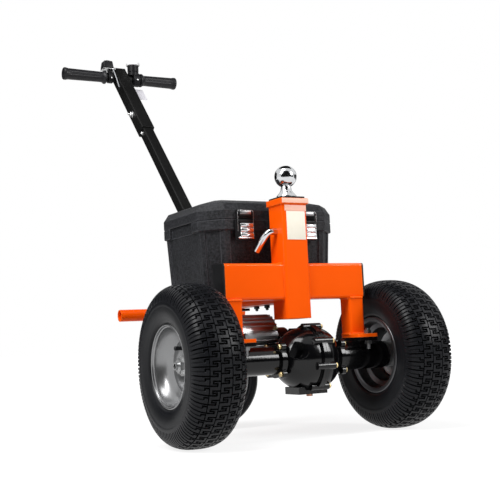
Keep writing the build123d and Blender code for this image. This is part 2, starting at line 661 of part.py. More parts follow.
def hinge_brackets():
    """Hinge eyes on the box, either side of each of the lid's, with their pins."""
    hinges = []
    for x in (-HINGE_X, HINGE_X):
        hinge = rod_x(HINGE_PIN_R, -HINGE_L / 2, HINGE_L / 2)
        for side in (-1, 1):
            inner = side * (HINGE_EYE_L / 2 + FIT)
            outer = side * HINGE_L / 2
            eye_l = abs(outer - inner)
            hinge += rod_x(HINGE_EYE_R, min(inner, outer), max(inner, outer))
            web = Box(eye_l, HINGE_EYE_R, RIM_BAND_H / 2)
            hinge += Pos((inner + outer) / 2, -HINGE_EYE_R / 2, -RIM_BAND_H / 4) * web
        hinges.append(Pos(x, HINGE_Y, HINGE_Z) * hinge)
    return hinges


def batteries():
    """The batteries in the box, as one plain block."""
    block = Box(BATTERY_W, BATTERY_L, BATTERY_H, align=(Align.CENTER, Align.CENTER, Align.MIN))
    return Pos(0, BOX_Y, PLATFORM_TOP_Z + BOX_WALL) * block


def latch_levers():
    """Latch plates on the front of the box's rim band, with round ridges across them."""
    plate = Box(LATCH_W, LEVER_T, LEVER_H, align=(Align.CENTER, Align.MAX, Align.MAX))
    for index in range(LEVER_RIDGES):
        ridge = rod_x(LEVER_RIDGE_R, -LEVER_RIDGE_L / 2, LEVER_RIDGE_L / 2)
        plate += Pos(0, -LEVER_T, -LEVER_H * (index + 1) / (LEVER_RIDGES + 1)) * ridge
    return [Pos(x, BOX_FRONT_Y, RIM_Z - LATCH_GAP) * plate for x in (-LATCH_X, LATCH_X)]


def lid_catches():
    """Catch blocks on the front of the lid."""
    block = Box(LATCH_W, CATCH_T, CATCH_H, align=(Align.CENTER, Align.MAX, Align.MIN))
    return [Pos(x, BOX_FRONT_Y, LID_Z + LATCH_GAP) * block for x in (-LATCH_X, LATCH_X)]


def handle_upper_tube():
    """Outer tube of the tiller, from above the handlebar down to its open end."""
    tube = rounded_tube(UPPER_S, UPPER_S, UPPER_L, UPPER_WALL, TUBE_CORNER / 2)
    tube = on_tiller(UPPER_L - UPPER_OVER, tube)
    tube -= Pos(0, BAR_Y, BAR_Z) * rod_x(HANDLEBAR_R + FIT, -UPPER_S, UPPER_S)
    return tube - on_tiller(SLEEVE_BOLT_AT, rod_x(TILLER_BOLT_R + FIT, -UPPER_S, UPPER_S))


def handle_lower_tube():
    """Inner tube of the tiller, from inside the upper tube down to the bracket."""
    tube = rounded_tube(LOWER_S, LOWER_S, LOWER_END - LOWER_START, LOWER_WALL, TUBE_CORNER / 2)
    tube = on_tiller(LOWER_END, tube)
    for distance in TILLER_BOLTS_AT:
        tube -= on_tiller(distance, rod_x(TILLER_BOLT_R + FIT, -UPPER_S, UPPER_S))
    return tube


def handle_bolts():
    """Cross bolts of the tiller: one through the sleeve and two through the bracket."""
    bolts = []
    for distance in TILLER_BOLTS_AT:
        half = UPPER_S / 2 if distance == SLEEVE_BOLT_AT else BRACKET_X + BRACKET_T
        bolt = rod_x(TILLER_BOLT_R, -half, half)
        bolt += rod_x(TILLER_HEAD_R, -half - TILLER_HEAD_T, -half)
        bolt += rod_x(TILLER_HEAD_R, half, half + TILLER_HEAD_T)
        bolts.append(on_tiller(distance, bolt))
    return bolts


def handle_bracket():
    """Two cheek plates on the spine, either side of the tiller's foot."""
    front_y = TILLER_FOOT_Y - BRACKET_FRONT
    top_y = TILLER_FOOT_Y + BRACKET_L * TILLER_COS
    top_z = TILLER_FOOT_Z + BRACKET_L * TILLER_SIN
    across_y = BRACKET_TOP_W / 2 * TILLER_SIN
    across_z = BRACKET_TOP_W / 2 * TILLER_COS
    outline = [(front_y, SPINE_TOP_Z), (top_y + across_y, SPINE_TOP_Z), (top_y + across_y, top_z - across_z),
               (top_y - across_y, top_z + across_z), (front_y, TILLER_FOOT_Z)]
    cheek = extrude(Plane.YZ * make_face(Polyline(*outline, close=True)), amount=BRACKET_T)
    right = Pos(BRACKET_X, 0, 0) * cheek
    for above in BRACKET_BOLTS:
        right -= on_tiller(LOWER_END - above, rod_x(TILLER_BOLT_R + FIT, -UPPER_S, UPPER_S))
    return [right, mirror(right, Plane.YZ)]


def handlebar():
    """Round bar through the top of the tiller."""
    return Pos(0, BAR_Y, BAR_Z) * rod_x(HANDLEBAR_R, -HANDLEBAR_L / 2, HANDLEBAR_L / 2)


def grip(inner):
    """Rubber grip from its inner end to over the bar's right end, with a flange at each end."""
    tip = HANDLEBAR_L / 2 + GRIP_END_T
    shape = rod_x(GRIP_R, inner, tip)
    shape += rod_x(GRIP_FLANGE_R, inner, inner + GRIP_FLANGE_T)
    shape += rod_x(GRIP_TIP_R, tip - GRIP_TIP_T, tip)
    shape -= rod_x(HANDLEBAR_R + FIT, inner, HANDLEBAR_L / 2)
    return Pos(0, BAR_Y, BAR_Z) * shape


def grips():
    """The two grips, each from the control beside it outwards."""
    return [mirror(grip(GRIP_INNER_X["left"]), Plane.YZ), grip(GRIP_INNER_X["right"])]


def bar_clamp(x, radius, length):
    """Clamp round the handlebar, under a control."""
    ring = rod_x(radius, x - length / 2, x + length / 2)
    return ring - rod_x(HANDLEBAR_R + FIT, x - length, x + length)


def switch_plate():
    """Base plate of the switch: from the case's left side to beside the tiller."""
    plate = Box(SWITCH_PLATE_W, SWITCH_D, SWITCH_PLATE_T, align=(Align.MIN, Align.CENTER, Align.MAX))
    return Pos(SWITCH_X - SWITCH_W / 2, 0, SWITCH_UP) * plate


def switch_box():
    """Direction switch: tapered case on a base plate, on a neck from its clamp."""
    foot = Pos(SWITCH_X, 0, SWITCH_UP) * Rectangle(SWITCH_W, SWITCH_D)
    top = Pos(SWITCH_X, 0, SWITCH_UP + SWITCH_H) * Rectangle(SWITCH_TOP_W, SWITCH_TOP_D)
    neck_h = SWITCH_UP - HANDLEBAR_R - FIT
    neck = Pos(SWITCH_CLAMP_X, 0, SWITCH_UP - neck_h / 2) * Box(SWITCH_NECK_W, SWITCH_NECK_D, neck_h)
    clamp = bar_clamp(SWITCH_CLAMP_X, SWITCH_CLAMP_R, SWITCH_CLAMP_L)
    return Pos(0, BAR_Y, BAR_Z) * (loft([foot, top]) + switch_plate() + neck + clamp)


def switch_lead():
    """Lead from the switch's plate past the front of the bar to a grommet on the tiller's left side."""
    face_x = -UPPER_S / 2
    start = Vector(LEAD_X, -LEAD_AHEAD, SWITCH_UP)
    end = Vector(face_x, -LEAD_GROMMET_AT * TILLER_COS, -LEAD_GROMMET_AT * TILLER_SIN)
    middle = (start + end) / 2 + Vector(0, -LEAD_BOW, 0)
    half_turn = (middle - start).get_angle(end - middle) / 2
    shorter_run = min((middle - start).length, (end - middle).length)
    radius = LEAD_ROUNDING * shorter_run / tan(radians(half_turn))
    path = FilletPolyline(start, middle, end, radius=radius)
    lead = sweep(Plane(path @ 0, z_dir=path % 0) * Circle(LEAD_R), path=path)
    grommet = rod_x(LEAD_GROMMET_R, face_x - LEAD_GROMMET_T, face_x)
    lead += Pos(0, end.Y, end.Z) * grommet
    lead -= Pos(0, 0, SWITCH_UP) * Box(HANDLEBAR_L, HANDLEBAR_L, 2 * SWITCH_PLATE_T)
    tiller = Box(UPPER_S, HANDLEBAR_L, HANDLEBAR_L, align=(Align.MIN, Align.CENTER, Align.CENTER))
    lead -= Pos(face_x, 0, 0) * tiller
    return Pos(0, BAR_Y, BAR_Z) * lead


def throttle_pod():
    """Round throttle housing on its clamp."""
    foot_z = HANDLEBAR_R + FIT
    pod = Cylinder(THROTTLE_R, THROTTLE_H, align=(Align.CENTER, Align.CENTER, Align.MIN))
    pod = Pos(THROTTLE_X, 0, foot_z) * pod
    clamp = bar_clamp(THROTTLE_CLAMP_X, THROTTLE_CLAMP_R, THROTTLE_CLAMP_L)
    return Pos(0, BAR_Y, BAR_Z) * (clamp + pod)


def throttle_cap():
    """Round cap on the throttle housing."""
    cap_z = BAR_Z + HANDLEBAR_R + FIT + THROTTLE_H
    cap = Cylinder(THROTTLE_CAP_R, THROTTLE_CAP_H, align=(Align.CENTER, Align.CENTER, Align.MIN))
    return Pos(THROTTLE_X, BAR_Y, cap_z) * cap


def swivelled(shape):
    """Turns a piece of the caster, modelled straight behind its swivel, to where it stands."""
    return Pos(0, SWIVEL_Y, 0) * Rot(0, 0, CASTER_TURN) * Pos(0, -SWIVEL_Y, 0) * shape


def caster_mount():
    """Pad under the spine with the swivel bearing's fixed cup."""
    pad = extrude(RectangleRounded(MOUNT_PAD_S, MOUNT_PAD_S, TUBE_CORNER), amount=MOUNT_PAD_T)
    cup = Pos(0, 0, -BEARING_H) * extrude(Circle(BEARING_R), amount=BEARING_H)
    stem_hole = Pos(0, 0, -BEARING_H) * extrude(Circle(STEM_R + FIT), amount=BEARING_H)
    return Pos(0, SWIVEL_Y, PAD_BOTTOM_Z) * (pad + cup - stem_hole)


def caster_fork():
    """Fork with a stem in the bearing, a crown and two legs swept back to the axle."""
    leg_x = CASTER_W / 2 + FORK_GAP
    crown_w = 2 * (leg_x + FORK_T)
    crown = extrude(RectangleRounded(crown_w, FORK_LEG_TOP_W, FORK_CORNER), amount=FORK_T)
    fork = Pos(0, SWIVEL_Y, FORK_CROWN_Z) * crown
    collar_h = PAD_BOTTOM_Z - BEARING_H - FIT - FORK_CROWN_TOP_Z
    stem_h = PAD_BOTTOM_Z - FIT - FORK_CROWN_TOP_Z
    for radius, height in ((BEARING_R - SWIVEL_GAP, collar_h), (STEM_R, stem_h)):
        fork += Pos(0, SWIVEL_Y, FORK_CROWN_TOP_Z) * extrude(Circle(radius), amount=height)
    half = FORK_LEG_TOP_W / 2
    outline = [(SWIVEL_Y - half, FORK_CROWN_TOP_Z), (SWIVEL_Y + half, FORK_CROWN_TOP_Z),
               (CASTER_Y + FORK_EYE_R, CASTER_R), (CASTER_Y - FORK_EYE_R, CASTER_R)]
    flat = make_face(Polyline(*outline, close=True)) + Pos(CASTER_Y, CASTER_R) * Circle(FORK_EYE_R)
    flat -= Pos(CASTER_Y, CASTER_R) * Circle(CASTER_AXLE_R + FIT)
    leg = extrude(Plane.YZ * flat, amount=FORK_T)
    return swivelled(fork + Pos(leg_x, 0, 0) * leg + Pos(-leg_x - FORK_T, 0, 0) * leg)


def caster_axle():
    """Bolt through the fork legs, with its head and nut."""
    half = CASTER_W / 2 + FORK_GAP + FORK_T
    bolt = rod_x(CASTER_AXLE_R, -half, half)
    for start in (-half - TILLER_HEAD_T, half):
        bolt += rod_x(AXLE_HEAD_R, start, start + TILLER_HEAD_T)
    return swivelled(Pos(0, CASTER_Y, CASTER_R) * bolt)


def caster_rim():
    """Rim with two flanges, a disc and a hub that runs on the axle."""
    half = CASTER_RIM_W / 2
    seat = half - CASTER_LIP
    inner_r = CASTER_RIM_R - CASTER_LIP
    outline = [(-half, CASTER_FLANGE_R), (-seat, CASTER_FLANGE_R),
               (-seat, CASTER_RIM_R), (seat, CASTER_RIM_R),
               (seat, CASTER_FLANGE_R), (half, CASTER_FLANGE_R), (half, inner_r), (-half, inner_r)]
    rim = spun_outline(outline) + rod_x(inner_r, -CASTER_DISC_T / 2, CASTER_DISC_T / 2)
    hub_half = CASTER_W / 2 + FORK_GAP - FIT
    rim += rod_x(CASTER_HUB_R, -hub_half, hub_half)
    rim -= rod_x(CASTER_AXLE_R + FIT, -CASTER_W, CASTER_W)
    return swivelled(Pos(0, CASTER_Y, CASTER_R) * rim)


def caster_tyre():
    """Tyre of the caster wheel, at its place."""
    bead_w = CASTER_RIM_W - 2 * CASTER_LIP - 2 * FIT
    rubber = tyre(CASTER_R, CASTER_W, CASTER_CROWN_W, CASTER_SHOULDER_R, CASTER_BELLY_R,
                  CASTER_FLANGE_R, CASTER_RIM_R + FIT, bead_w)
    return swivelled(Pos(0, CASTER_Y, CASTER_R) * rubber)


def drive_tyre():
    """Tyre of a drive wheel about X, with its tread."""
    bead_w = RIM_W - 2 * RIM_WALL - 2 * FIT
    rubber = tyre(TYRE_R, TYRE_W, TYRE_CROWN_W, TYRE_SHOULDER_R, TYRE_BELLY_R,
                  RIM_FLANGE_R, RIM_BEAD_R + FIT, bead_w)
    return rubber - tread_cuts()


def all_nodes():
    """Every node of the dolly by name."""
    nodes = {
        "cross_beam": cross_beam(),
        "beam_end_caps": beam_end_caps(),
        "receiver_post": receiver_post(),
        "post_collar": post_collar(),
        "ball_mount": ball_mount(),
        "hitch_ball": hitch_ball(),
        "hitch_pin": hitch_pin(),
        "beam_legs": legs(),
        "foot_plates": foot_plates(),
        "axle_saddles": axle_saddles(),
        "foot_bolts": foot_bolts(),
        "axle_tube_left": axle_tube(-1),
        "axle_tube_right": axle_tube(1),
        "diff_case_left": case_left(),
        "diff_case_right": case_half("right", DIFF_RIGHT_X, BOSS_RIGHT_L, BASE_RIGHT_L),
        "drain_plug": drain_plug(),
        "motor_body": motor_body(),
        "motor_gear_case": gear_case(),
        "spine_tube": spine_tube(),
        "platform": platform(),
        "rear_crossbar": rear_crossbar(),
        "battery_box": battery_box(),
        "batteries": batteries(),
        "latch_levers": latch_levers(),
        "hinge_brackets": hinge_brackets(),
        "box_lid": box_lid(),
        "lid_catches": lid_catches(),
        "handle_bracket": handle_bracket(),
        "handle_lower_tube": handle_lower_tube(),
        "handle_upper_tube": handle_upper_tube(),
        "handle_bolts": handle_bolts(),
        "handlebar": handlebar(),
        "grips": grips(),
        "switch_box": switch_box(),
        "switch_lead": switch_lead(),
        "throttle_pod": throttle_pod(),
        "throttle_cap": throttle_cap(),
        "caster_mount": caster_mount(),
        "caster_fork": caster_fork(),
        "caster_axle": caster_axle(),
        "caster_rim": caster_rim(),
        "caster_tyre": caster_tyre(),
    }
    rubber = drive_tyre()
    for name, side in (("left", -1), ("right", 1)):
        place = Pos(side * TRACK / 2, 0, AXLE_Z)
        nodes[f"wheel_{name}_tyre"] = place * rubber
        nodes[f"wheel_{name}_rim"] = place * wheel_rim(side)
        nodes[f"wheel_{name}_hub"] = wheel_hub(side)
    return nodes


def main():
    os.makedirs("parts", exist_ok=True)
    for name, shape in all_nodes().items():
        pieces = shape if isinstance(shape, list) else [shape]
        moved = [Pos(0, -ORIGIN_Y, 0) * piece for piece in pieces]
        export_step(Compound(moved) if len(moved) > 1 else moved[0], f"parts/{name}.step")


main()
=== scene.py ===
"""Looks of the electric trailer dolly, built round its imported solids.

Shapes are worked out in millimetres with the drive axle's middle at y = 0, +X to the right seen from
the hitch and +Z up; piece() moves them to the frame and turns them into metres.
"""
from math import cos, pi, radians, sin

import bmesh
import bpy
import numpy as np
from mathutils import Matrix, Vector


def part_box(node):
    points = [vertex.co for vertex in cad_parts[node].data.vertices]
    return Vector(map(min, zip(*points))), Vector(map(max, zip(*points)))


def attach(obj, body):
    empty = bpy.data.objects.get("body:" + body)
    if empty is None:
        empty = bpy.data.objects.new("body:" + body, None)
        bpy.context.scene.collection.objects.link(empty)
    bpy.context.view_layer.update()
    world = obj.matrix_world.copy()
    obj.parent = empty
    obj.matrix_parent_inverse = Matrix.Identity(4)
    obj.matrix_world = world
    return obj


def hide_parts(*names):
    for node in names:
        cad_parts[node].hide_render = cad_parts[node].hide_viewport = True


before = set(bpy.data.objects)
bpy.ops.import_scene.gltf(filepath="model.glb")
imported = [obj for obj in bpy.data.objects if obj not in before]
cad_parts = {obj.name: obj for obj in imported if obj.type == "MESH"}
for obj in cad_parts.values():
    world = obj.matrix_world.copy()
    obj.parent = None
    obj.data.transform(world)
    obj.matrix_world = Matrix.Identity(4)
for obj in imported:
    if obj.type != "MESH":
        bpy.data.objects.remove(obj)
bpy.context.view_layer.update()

MM = 0.001
AXLE_Y = sum(corner[1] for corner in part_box("wheel_left_tyre")) / 2 / MM
SHIFT = np.array([0.0, AXLE_Y, 0.0])     # from the shapes' origin to the frame's


def box_mm(node):
    """Lowest and highest corner of a CAD node, in millimetres with the axle's middle at y = 0."""
    return [np.array(corner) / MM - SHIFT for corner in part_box(node)]


# Drive wheels
TYRE_LOW, TYRE_HIGH = box_mm("wheel_left_tyre")
TYRE_R = (TYRE_HIGH[2] - TYRE_LOW[2]) / 2
TYRE_W = TYRE_HIGH[0] - TYRE_LOW[0]
WHEEL_X = -(TYRE_LOW[0] + TYRE_HIGH[0]) / 2
AXLE_Z = TYRE_R
BELLY_R = 130.0              # radius where the tyre is widest
BEAD_R = 88.5
BEAD_W = 94.0
RIM_FLANGE_R = 89.0
RIM_W = 102.0
RIM_LIP_R = 3.0              # rolled edge of the rim
DISC_X = 12.0                # wheel disc's middle, outboard of the tyre's middle
DISC_T = 4.0
RIM_SHADE_RUN = 14.0              # over which painted shade darkens the rim, inboard of its disc
VALVE_R = 50.0
VALVE_TURN = radians(132.0)

# Tread: places along the section from its middle; levels round the tyre count in pitches
TREAD_PITCHES = 56
PITCH = 2 * pi * TYRE_R / TREAD_PITCHES
TREAD_ROWS = ((-11.8, 11.8, 0.0), (13.6, 34.6, 0.25))    # inner edge, outer edge and offset in pitches
STEM_LOW, STEM_HIGH = 0.3, 0.7                           # where an S climbs, as shares of its row
ROW_GAP = 1.8                # groove outside each row
BAR_START = TREAD_ROWS[-1][1] + ROW_GAP
BAR_HOOK = BAR_START + 8.0   # where the groove in a shoulder bar turns
BAR_END = 80.0
BAR_FADE = 7.0               # over which the grooves run out
GROOVE_HALF = 0.086          # half a groove's width, in pitches
GROOVE_HALF_MM = GROOVE_HALF * PITCH
GROOVE_WALL = 0.4            # half the run of a groove's wall
GROOVE_DEPTH = 4.0
GAP_DEPTH = 4.8
FAINT_DEPTH = 1.8            # groove between two shoulder bars

# Caster
CASTER_LOW, CASTER_HIGH = box_mm("caster_tyre")
CASTER_X, CASTER_Y, CASTER_R = (CASTER_LOW + CASTER_HIGH) / 2
CASTER_W = 46.0
CASTER_TURN = radians(65.0)  # about its swivel, as the caster stands
CASTER_BELLY_R = 115.0
CASTER_BEAD_W = 29.0
CASTER_RIBS = (5.0, 12.0)    # grooves, along the section from its middle
CASTER_RIB_DEPTH = 2.0
CASTER_RIM_HALF = 17.0
CASTER_FLANGE_R = 104.0
CASTER_LIP_R = 2.5
CASTER_HUB_R = 20.0
CASTER_HUB_HALF = 28.7

# Front frame
POST_LOW, POST_HIGH = box_mm("receiver_post")
COLLAR_LOW, COLLAR_HIGH = box_mm("post_collar")
BEAM_LOW, BEAM_HIGH = box_mm("cross_beam")
LEG_LOW, LEG_HIGH = box_mm("beam_legs")
FOOT_TOP_Z = box_mm("foot_plates")[1][2]
POST_Y = (POST_LOW[1] + POST_HIGH[1]) / 2
POST_HALF = POST_HIGH[0]
LEG_W = LEG_HIGH[1] - LEG_LOW[1]
BALL_R = 25.4
BALL_FLAT = 2.5              # cut off the top of the ball
PIN_R = 7.4
PIN_SOLID_R = 6.5
PIN_OUT = 8.0                # from the post to where the grip's line starts
PIN_CORNER = 22.0            # from the post to the bend's corner
PIN_ROUNDING = 19.0
PIN_GRIP_L = 58.0
PIN_FALL = radians(63.0)     # grip, from the pin's own line
PIN_LEAN = radians(37.0)     # grip, back from straight down
LABEL_DOWN = 61.0            # label and pale band, below the post's top
BAND_DOWN = 22.0
PLATE_T = 0.8

# Transaxle and motor
BOSS_COUNT, BOSS_CIRCLE_R, BOSS_START = 8, 72.0, 13.0    # start in degrees
BOSS_L = 22.0
EAR_COUNT, EAR_CIRCLE_R, EAR_START = 4, 42.0, 45.0
PLATFORM_BOLTS_Y = (118.0, 168.0)

# Battery box
BOX_LOW, BOX_HIGH = box_mm("battery_box")
LID_TOP_Z = box_mm("box_lid")[1][2]
BOX_HALF_W = BOX_HIGH[0]
BOX_FRONT_Y = BOX_LOW[1]
BOX_REAR_Y = BOX_HIGH[1]
BOX_Y = (BOX_FRONT_Y + BOX_REAR_Y) / 2
BOX_HALF_L = (BOX_REAR_Y - BOX_FRONT_Y) / 2
BOX_CHAMFER = 46.0
BOX_WALL = 4.0
SPLIT_Z = BOX_HIGH[2]
BAND_H = 24.0
BAND_HOLLOW = 7.0            # how deep the band is left off in the middle of the long sides
BAND_TAB_W = 34.0            # what is left of the band at their ends
STRIP_W = 13.0               # raised strip each side of the box's corners
STRIP_T = 3.0
STEP_RUN = 0.5               # half the run of a step in the plastic
CORNER_SOFT = 0.7            # taken off each upright corner
CORNER_RUN = 1.5
LID_GAP = 0.3
LID_SKIRT_H = 22.5
LID_SHOULDER_H = 16.0
HINGE_X = 90.0
HINGE_EYE_R = 7.0
LATCH_X = 84.0
# Latch blocks: size, round edge and middle, from the split line on the front at the latch's own x
LATCH_BASE = (((46, 5, 48), 1.2, (-2.0, -2.3, -25.5)), ((36, 9, 7), 2.0, (0.0, -4.6, -5.5)))
LATCH_HOOK = (((34, 9, 12), 2.2, (0.0, -4.4, 11.5)), ((40, 3, 20), 1.0, (0.0, -1.2, 12.0)))
BAIL_BAR = (((28, 4, 9), 1.6, (0.0, -8.4, 14.0)),)
LEVER_AT = (4.0, -4.6, -42.5)
LEVER_S = 34.0
LEVER_HINGE_AT = (0.0, -6.0, -43.5)
BAIL_HALF = 20.0
BAIL_LEVELS = ((-6.0, -28.5), (-7.5, -2.5), (-7.5, 19.0))    # y and z of the wire on its way up
BAIL_R = 1.0

# Tiller
BAR_LOW, BAR_HIGH = box_mm("handlebar")
BAR_Y = (BAR_LOW[1] + BAR_HIGH[1]) / 2
BAR_Z = (BAR_LOW[2] + BAR_HIGH[2]) / 2
TILLER_LEAN = radians(42.5)  # back from upright
UPPER_HALF = 20.0
UPPER_OVER = 30.0            # upper tube beyond the handlebar
LOWER_HALF = 16.0
BRACKET_HALF = 22.3          # over the bracket's cheeks
SLEEVE_END = 296.0           # upper tube's open end, down from the handlebar
CROSS_BOLTS = ((205.0, UPPER_HALF), (906.0, BRACKET_HALF), (862.0, BRACKET_HALF))    # way down, half length
TAG_AT = 53.0

# Controls on the bar, from its middle
GRIP_FROM_LEFT = 51.5
GRIP_FROM_RIGHT = 65.0
GRIP_TIP = BAR_HIGH[0] + 3.0
GRIP_RIBS = 16
BAR_BORE = 11.3
SWITCH_CLAMP_X = -36.0
SWITCH_CLAMP_R = 18.0
SWITCH_X = -44.5
SWITCH_UP = 27.0
SWITCH_H = 25.0
THROTTLE_X = 44.0
THROTTLE_CLAMP_X = 51.0
THROTTLE_CLAMP_R = 22.0
THROTTLE_CAP_UP = 45.3
LEAD_X = -30.0
LEAD_AHEAD = 14.0
LEAD_R = 1.6
LEAD_BOW = 5.0
LEAD_GROMMET_AT = 60.0

# Camera, solved from the photograph: place, heading to the right of +Y, look up, roll and focal length
CAMERA_AT = (-1101.8, -1819.9, 220.9)
CAMERA_YAW = radians(28.757)
CAMERA_PITCH = radians(5.37)
CAMERA_ROLL = radians(-2.734)
FOCAL_PX = 950.63
PHOTO_PX = 500
SENSOR = 36.0

# Studio, in metres. Lamps: name, place, target, size and power
LAMPS = (
    ("key", (-2.5, -1.1, 2.6), (0.0, -0.2, 0.5), (1.0, 1.5), 84.0),
    ("fill", (2.0, -2.9, 1.9), (0.0, -0.2, 0.5), (0.9, 1.4), 70.0),
    ("top", (-1.0, -0.8, 3.2), (0.0, 0.0, 0.4), (1.2, 1.2), 44.0),
)
# Black cards that stand round the object: name, bearing in degrees from +X, distance, width and height
CARDS = (
    ("flag_front", 240.0, 2.7, 5.6, 4.2),
    ("flag_right_front", 303.0, 4.2, 3.4, 2.4),
    ("flag_right", 0.0, 4.2, 3.6, 1.6),
    ("flag_right_back", 55.0, 4.2, 3.6, 2.4),
    ("flag_left_back", 112.0, 4.2, 4.4, 2.8),
)
CARDS_ROUND = (0.0, -0.3, 0.02)
SCATTERED_LIGHT = 0.24
FLOOR_HALF = 30.0
FLOOR_GLOW = 1.32
FLOOR_GLOW_NEAR = 0.6        # share of the glow in the floor under the object
FLOOR_GLOW_RISE = 0.38       # and what is added to it a way off
FLOOR_GLOW_RUN = 5.0


class Socket:
    """A socket of a material's node tree. Sums and products of sockets and numbers add Math nodes."""

    def __init__(self, tree, socket=None):
        self.tree = tree
        self.socket = socket

    def node(self, kind, settings=None, inputs=None, output=0):
        """Adds any node: its settings first, then its sockets' values or links. Gives one output."""
        made = self.tree.nodes.new("ShaderNode" + kind)
        for key, value in (settings or {}).items():
            setattr(made, key, value)
        for key, value in (inputs or {}).items():
            if isinstance(value, Socket):
                self.tree.links.new(value.socket, made.inputs[key])
            else:
                made.inputs[key].default_value = value
        return Socket(self.tree, made.outputs[output] if made.outputs else None)

    def maths(self, operation, first, second):
        return self.node("Math", {"operation": operation}, {0: first, 1: second})

    def __add__(self, other):
        return self.maths("ADD", self, other)

    def __sub__(self, other):
        return self.maths("SUBTRACT", self, other)

    def __rsub__(self, other):
        return self.maths("SUBTRACT", other, self)

    def __mul__(self, other):
        return self.maths("MULTIPLY", self, other)

    __radd__ = __add__
    __rmul__ = __mul__

    def mix(self, low, high):
        """Colour that goes from low to high as this value goes from 0 to 1."""
        return self.node("Mix", {"data_type": "RGBA"}, {0: self, 6: low, 7: high}, output=2)


def rgb(red, green, blue):
    return (red, green, blue, 1.0)


def new_material(name):
    """An empty material and the sheet of its node tree."""
    material = bpy.data.materials.new(name)
    material.use_nodes = True
    material.node_tree.nodes.clear()
    return material, Socket(material.node_tree)


def close_material(sheet, inputs):
    """Ends a material in a Principled shader with these inputs."""
    shader = sheet.node("BsdfPrincipled", None, inputs)
    sheet.node("OutputMaterial", None, {"Surface": shader})


def object_place(sheet):
    """Place on the surface, in the frame's metres."""
    return sheet.node("TexCoord", output="Object")


def noise(sheet, place, scale, detail, rough=0.5):
    inputs = {"Vector": place, "Scale": scale, "Detail": detail, "Roughness": rough}
    return sheet.node("TexNoise", None, inputs)


def bump(sheet, height, strength, distance, edge=0.0):
    """Normal raised by a height; with an edge, corners of that radius are rounded in the shading."""
    inputs = {"Height": height, "Strength": strength, "Distance": distance}
    if edge:
        inputs["Normal"] = sheet.node("Bevel", {"samples": 4}, {"Radius": edge})
    return sheet.node("Bump", None, inputs)


def painted_edge_highlight(sheet, radius, gain):
    """Mask of painted edge highlights, near 0 on flat ground: how far the rounded normal turns from the
    surface's own.
    """
    rounded = sheet.node("Bevel", {"samples": 6}, {"Radius": radius})
    own = sheet.node("NewGeometry", output="Normal")
    match = sheet.node("VectorMath", {"operation": "DOT_PRODUCT"}, {0: rounded, 1: own}, "Value")
    return (1 - match) * gain


def darkening(sheet):
    """The piece's own value, from 0 to 1, of how much painted shade each point takes."""
    return sheet.node("Attribute", {"attribute_name": "darkening"}, output="Fac")


def finish(name, low, high, rough, patches, grain=None, edge=0.0, edge_highlight=None, shader=None):
    """A finish that drifts in patches, (scale, detail), between two tones and in roughness, (least,
    spread). Grain, (scale, detail, strength, depth), is raised on it; an edge rounds its corners in the
    shading, and edge_highlight, (radius, gain, tone), paints a highlight of that tone on them. Shader holds
    the constant sockets."""
    material, sheet = new_material(name)
    place = object_place(sheet)
    drift = noise(sheet, place, *patches)
    tone = drift.mix(low, high)
    # Painted highlight: the edges are lightened to their own tone.
    if edge_highlight:
        radius, gain, highlight_tone = edge_highlight
        tone = painted_edge_highlight(sheet, radius, gain).mix(tone, highlight_tone)
    inputs = {"Base Color": tone, "Roughness": rough[0] + drift * rough[1], **(shader or {})}
    if grain:
        scale, detail, strength, depth = grain
        inputs["Normal"] = bump(sheet, noise(sheet, place, scale, detail), strength, depth, edge)
    close_material(sheet, inputs)
    return material


def plated_metal(name, low, high, rough, edge=0.0):
    """Bare or plated metal between two tones, with fine streaks in its roughness."""
    return finish(name, low, high, rough, (45.0, 3.0), (800.0, 2.0, 0.08, 0.0003), edge,
                  shader={"Metallic": 1.0})


def printed_paper(name, low, high):
    """Smooth pale surface, slightly uneven."""
    return finish(name, low, high, (0.42, 0.12), (70.0, 3.0))


def box_plastic():
    """Black moulded plastic with a pebbled grain and painted highlights on its edges."""
    material, sheet = new_material("box_plastic")
    place = object_place(sheet)
    pebbles = sheet.node("TexVoronoi", {"feature": "SMOOTH_F1"}, {"Vector": place, "Scale": 380.0})
    speck = noise(sheet, place, 190.0, 4.0, 0.8)
    broad = noise(sheet, place, 11.0, 4.0)
    blend = 2.8 * speck + 0.5 * broad - 1.3
    moulding = blend.mix(rgb(0.004, 0.0042, 0.0048), rgb(0.042, 0.043, 0.049))
    close_material(sheet, {
        # Edges lightened to a grey: a painted highlight.
        "Base Color": painted_edge_highlight(sheet, 0.003, 4.0).mix(moulding, rgb(0.10, 0.102, 0.115)),
        "Roughness": 0.42 + broad * 0.16,
        "Specular IOR Level": 0.16,
        "Normal": bump(sheet, pebbles + speck, 0.7, 0.0009, 0.0012),
    })
    return material


def tyre_rubber():
    """Black rubber, uneven in sheen, with painted highlights on its edges and painted shade in the grooves.
    """
    material, sheet = new_material("tyre_rubber")
    place = object_place(sheet)
    broad = noise(sheet, place, 18.0, 4.0)
    fine = noise(sheet, place, 620.0, 3.0)
    groove = darkening(sheet)
    flat = broad.mix(rgb(0.0035, 0.0038, 0.0048), rgb(0.0085, 0.009, 0.0112))
    # Block edges lightened: a painted highlight.
    top = painted_edge_highlight(sheet, 0.001, 2.4).mix(flat, rgb(0.045, 0.047, 0.055))
    close_material(sheet, {
        # Grooves darkened by the piece's attribute: painted shade.
        "Base Color": groove.mix(top, rgb(0.0012, 0.0012, 0.0014)),
        "Roughness": 0.28 + broad * 0.16 + groove * 0.5,
        "Specular IOR Level": 0.16,
        "Normal": bump(sheet, fine, 0.2, 0.0005),
    })
    return material


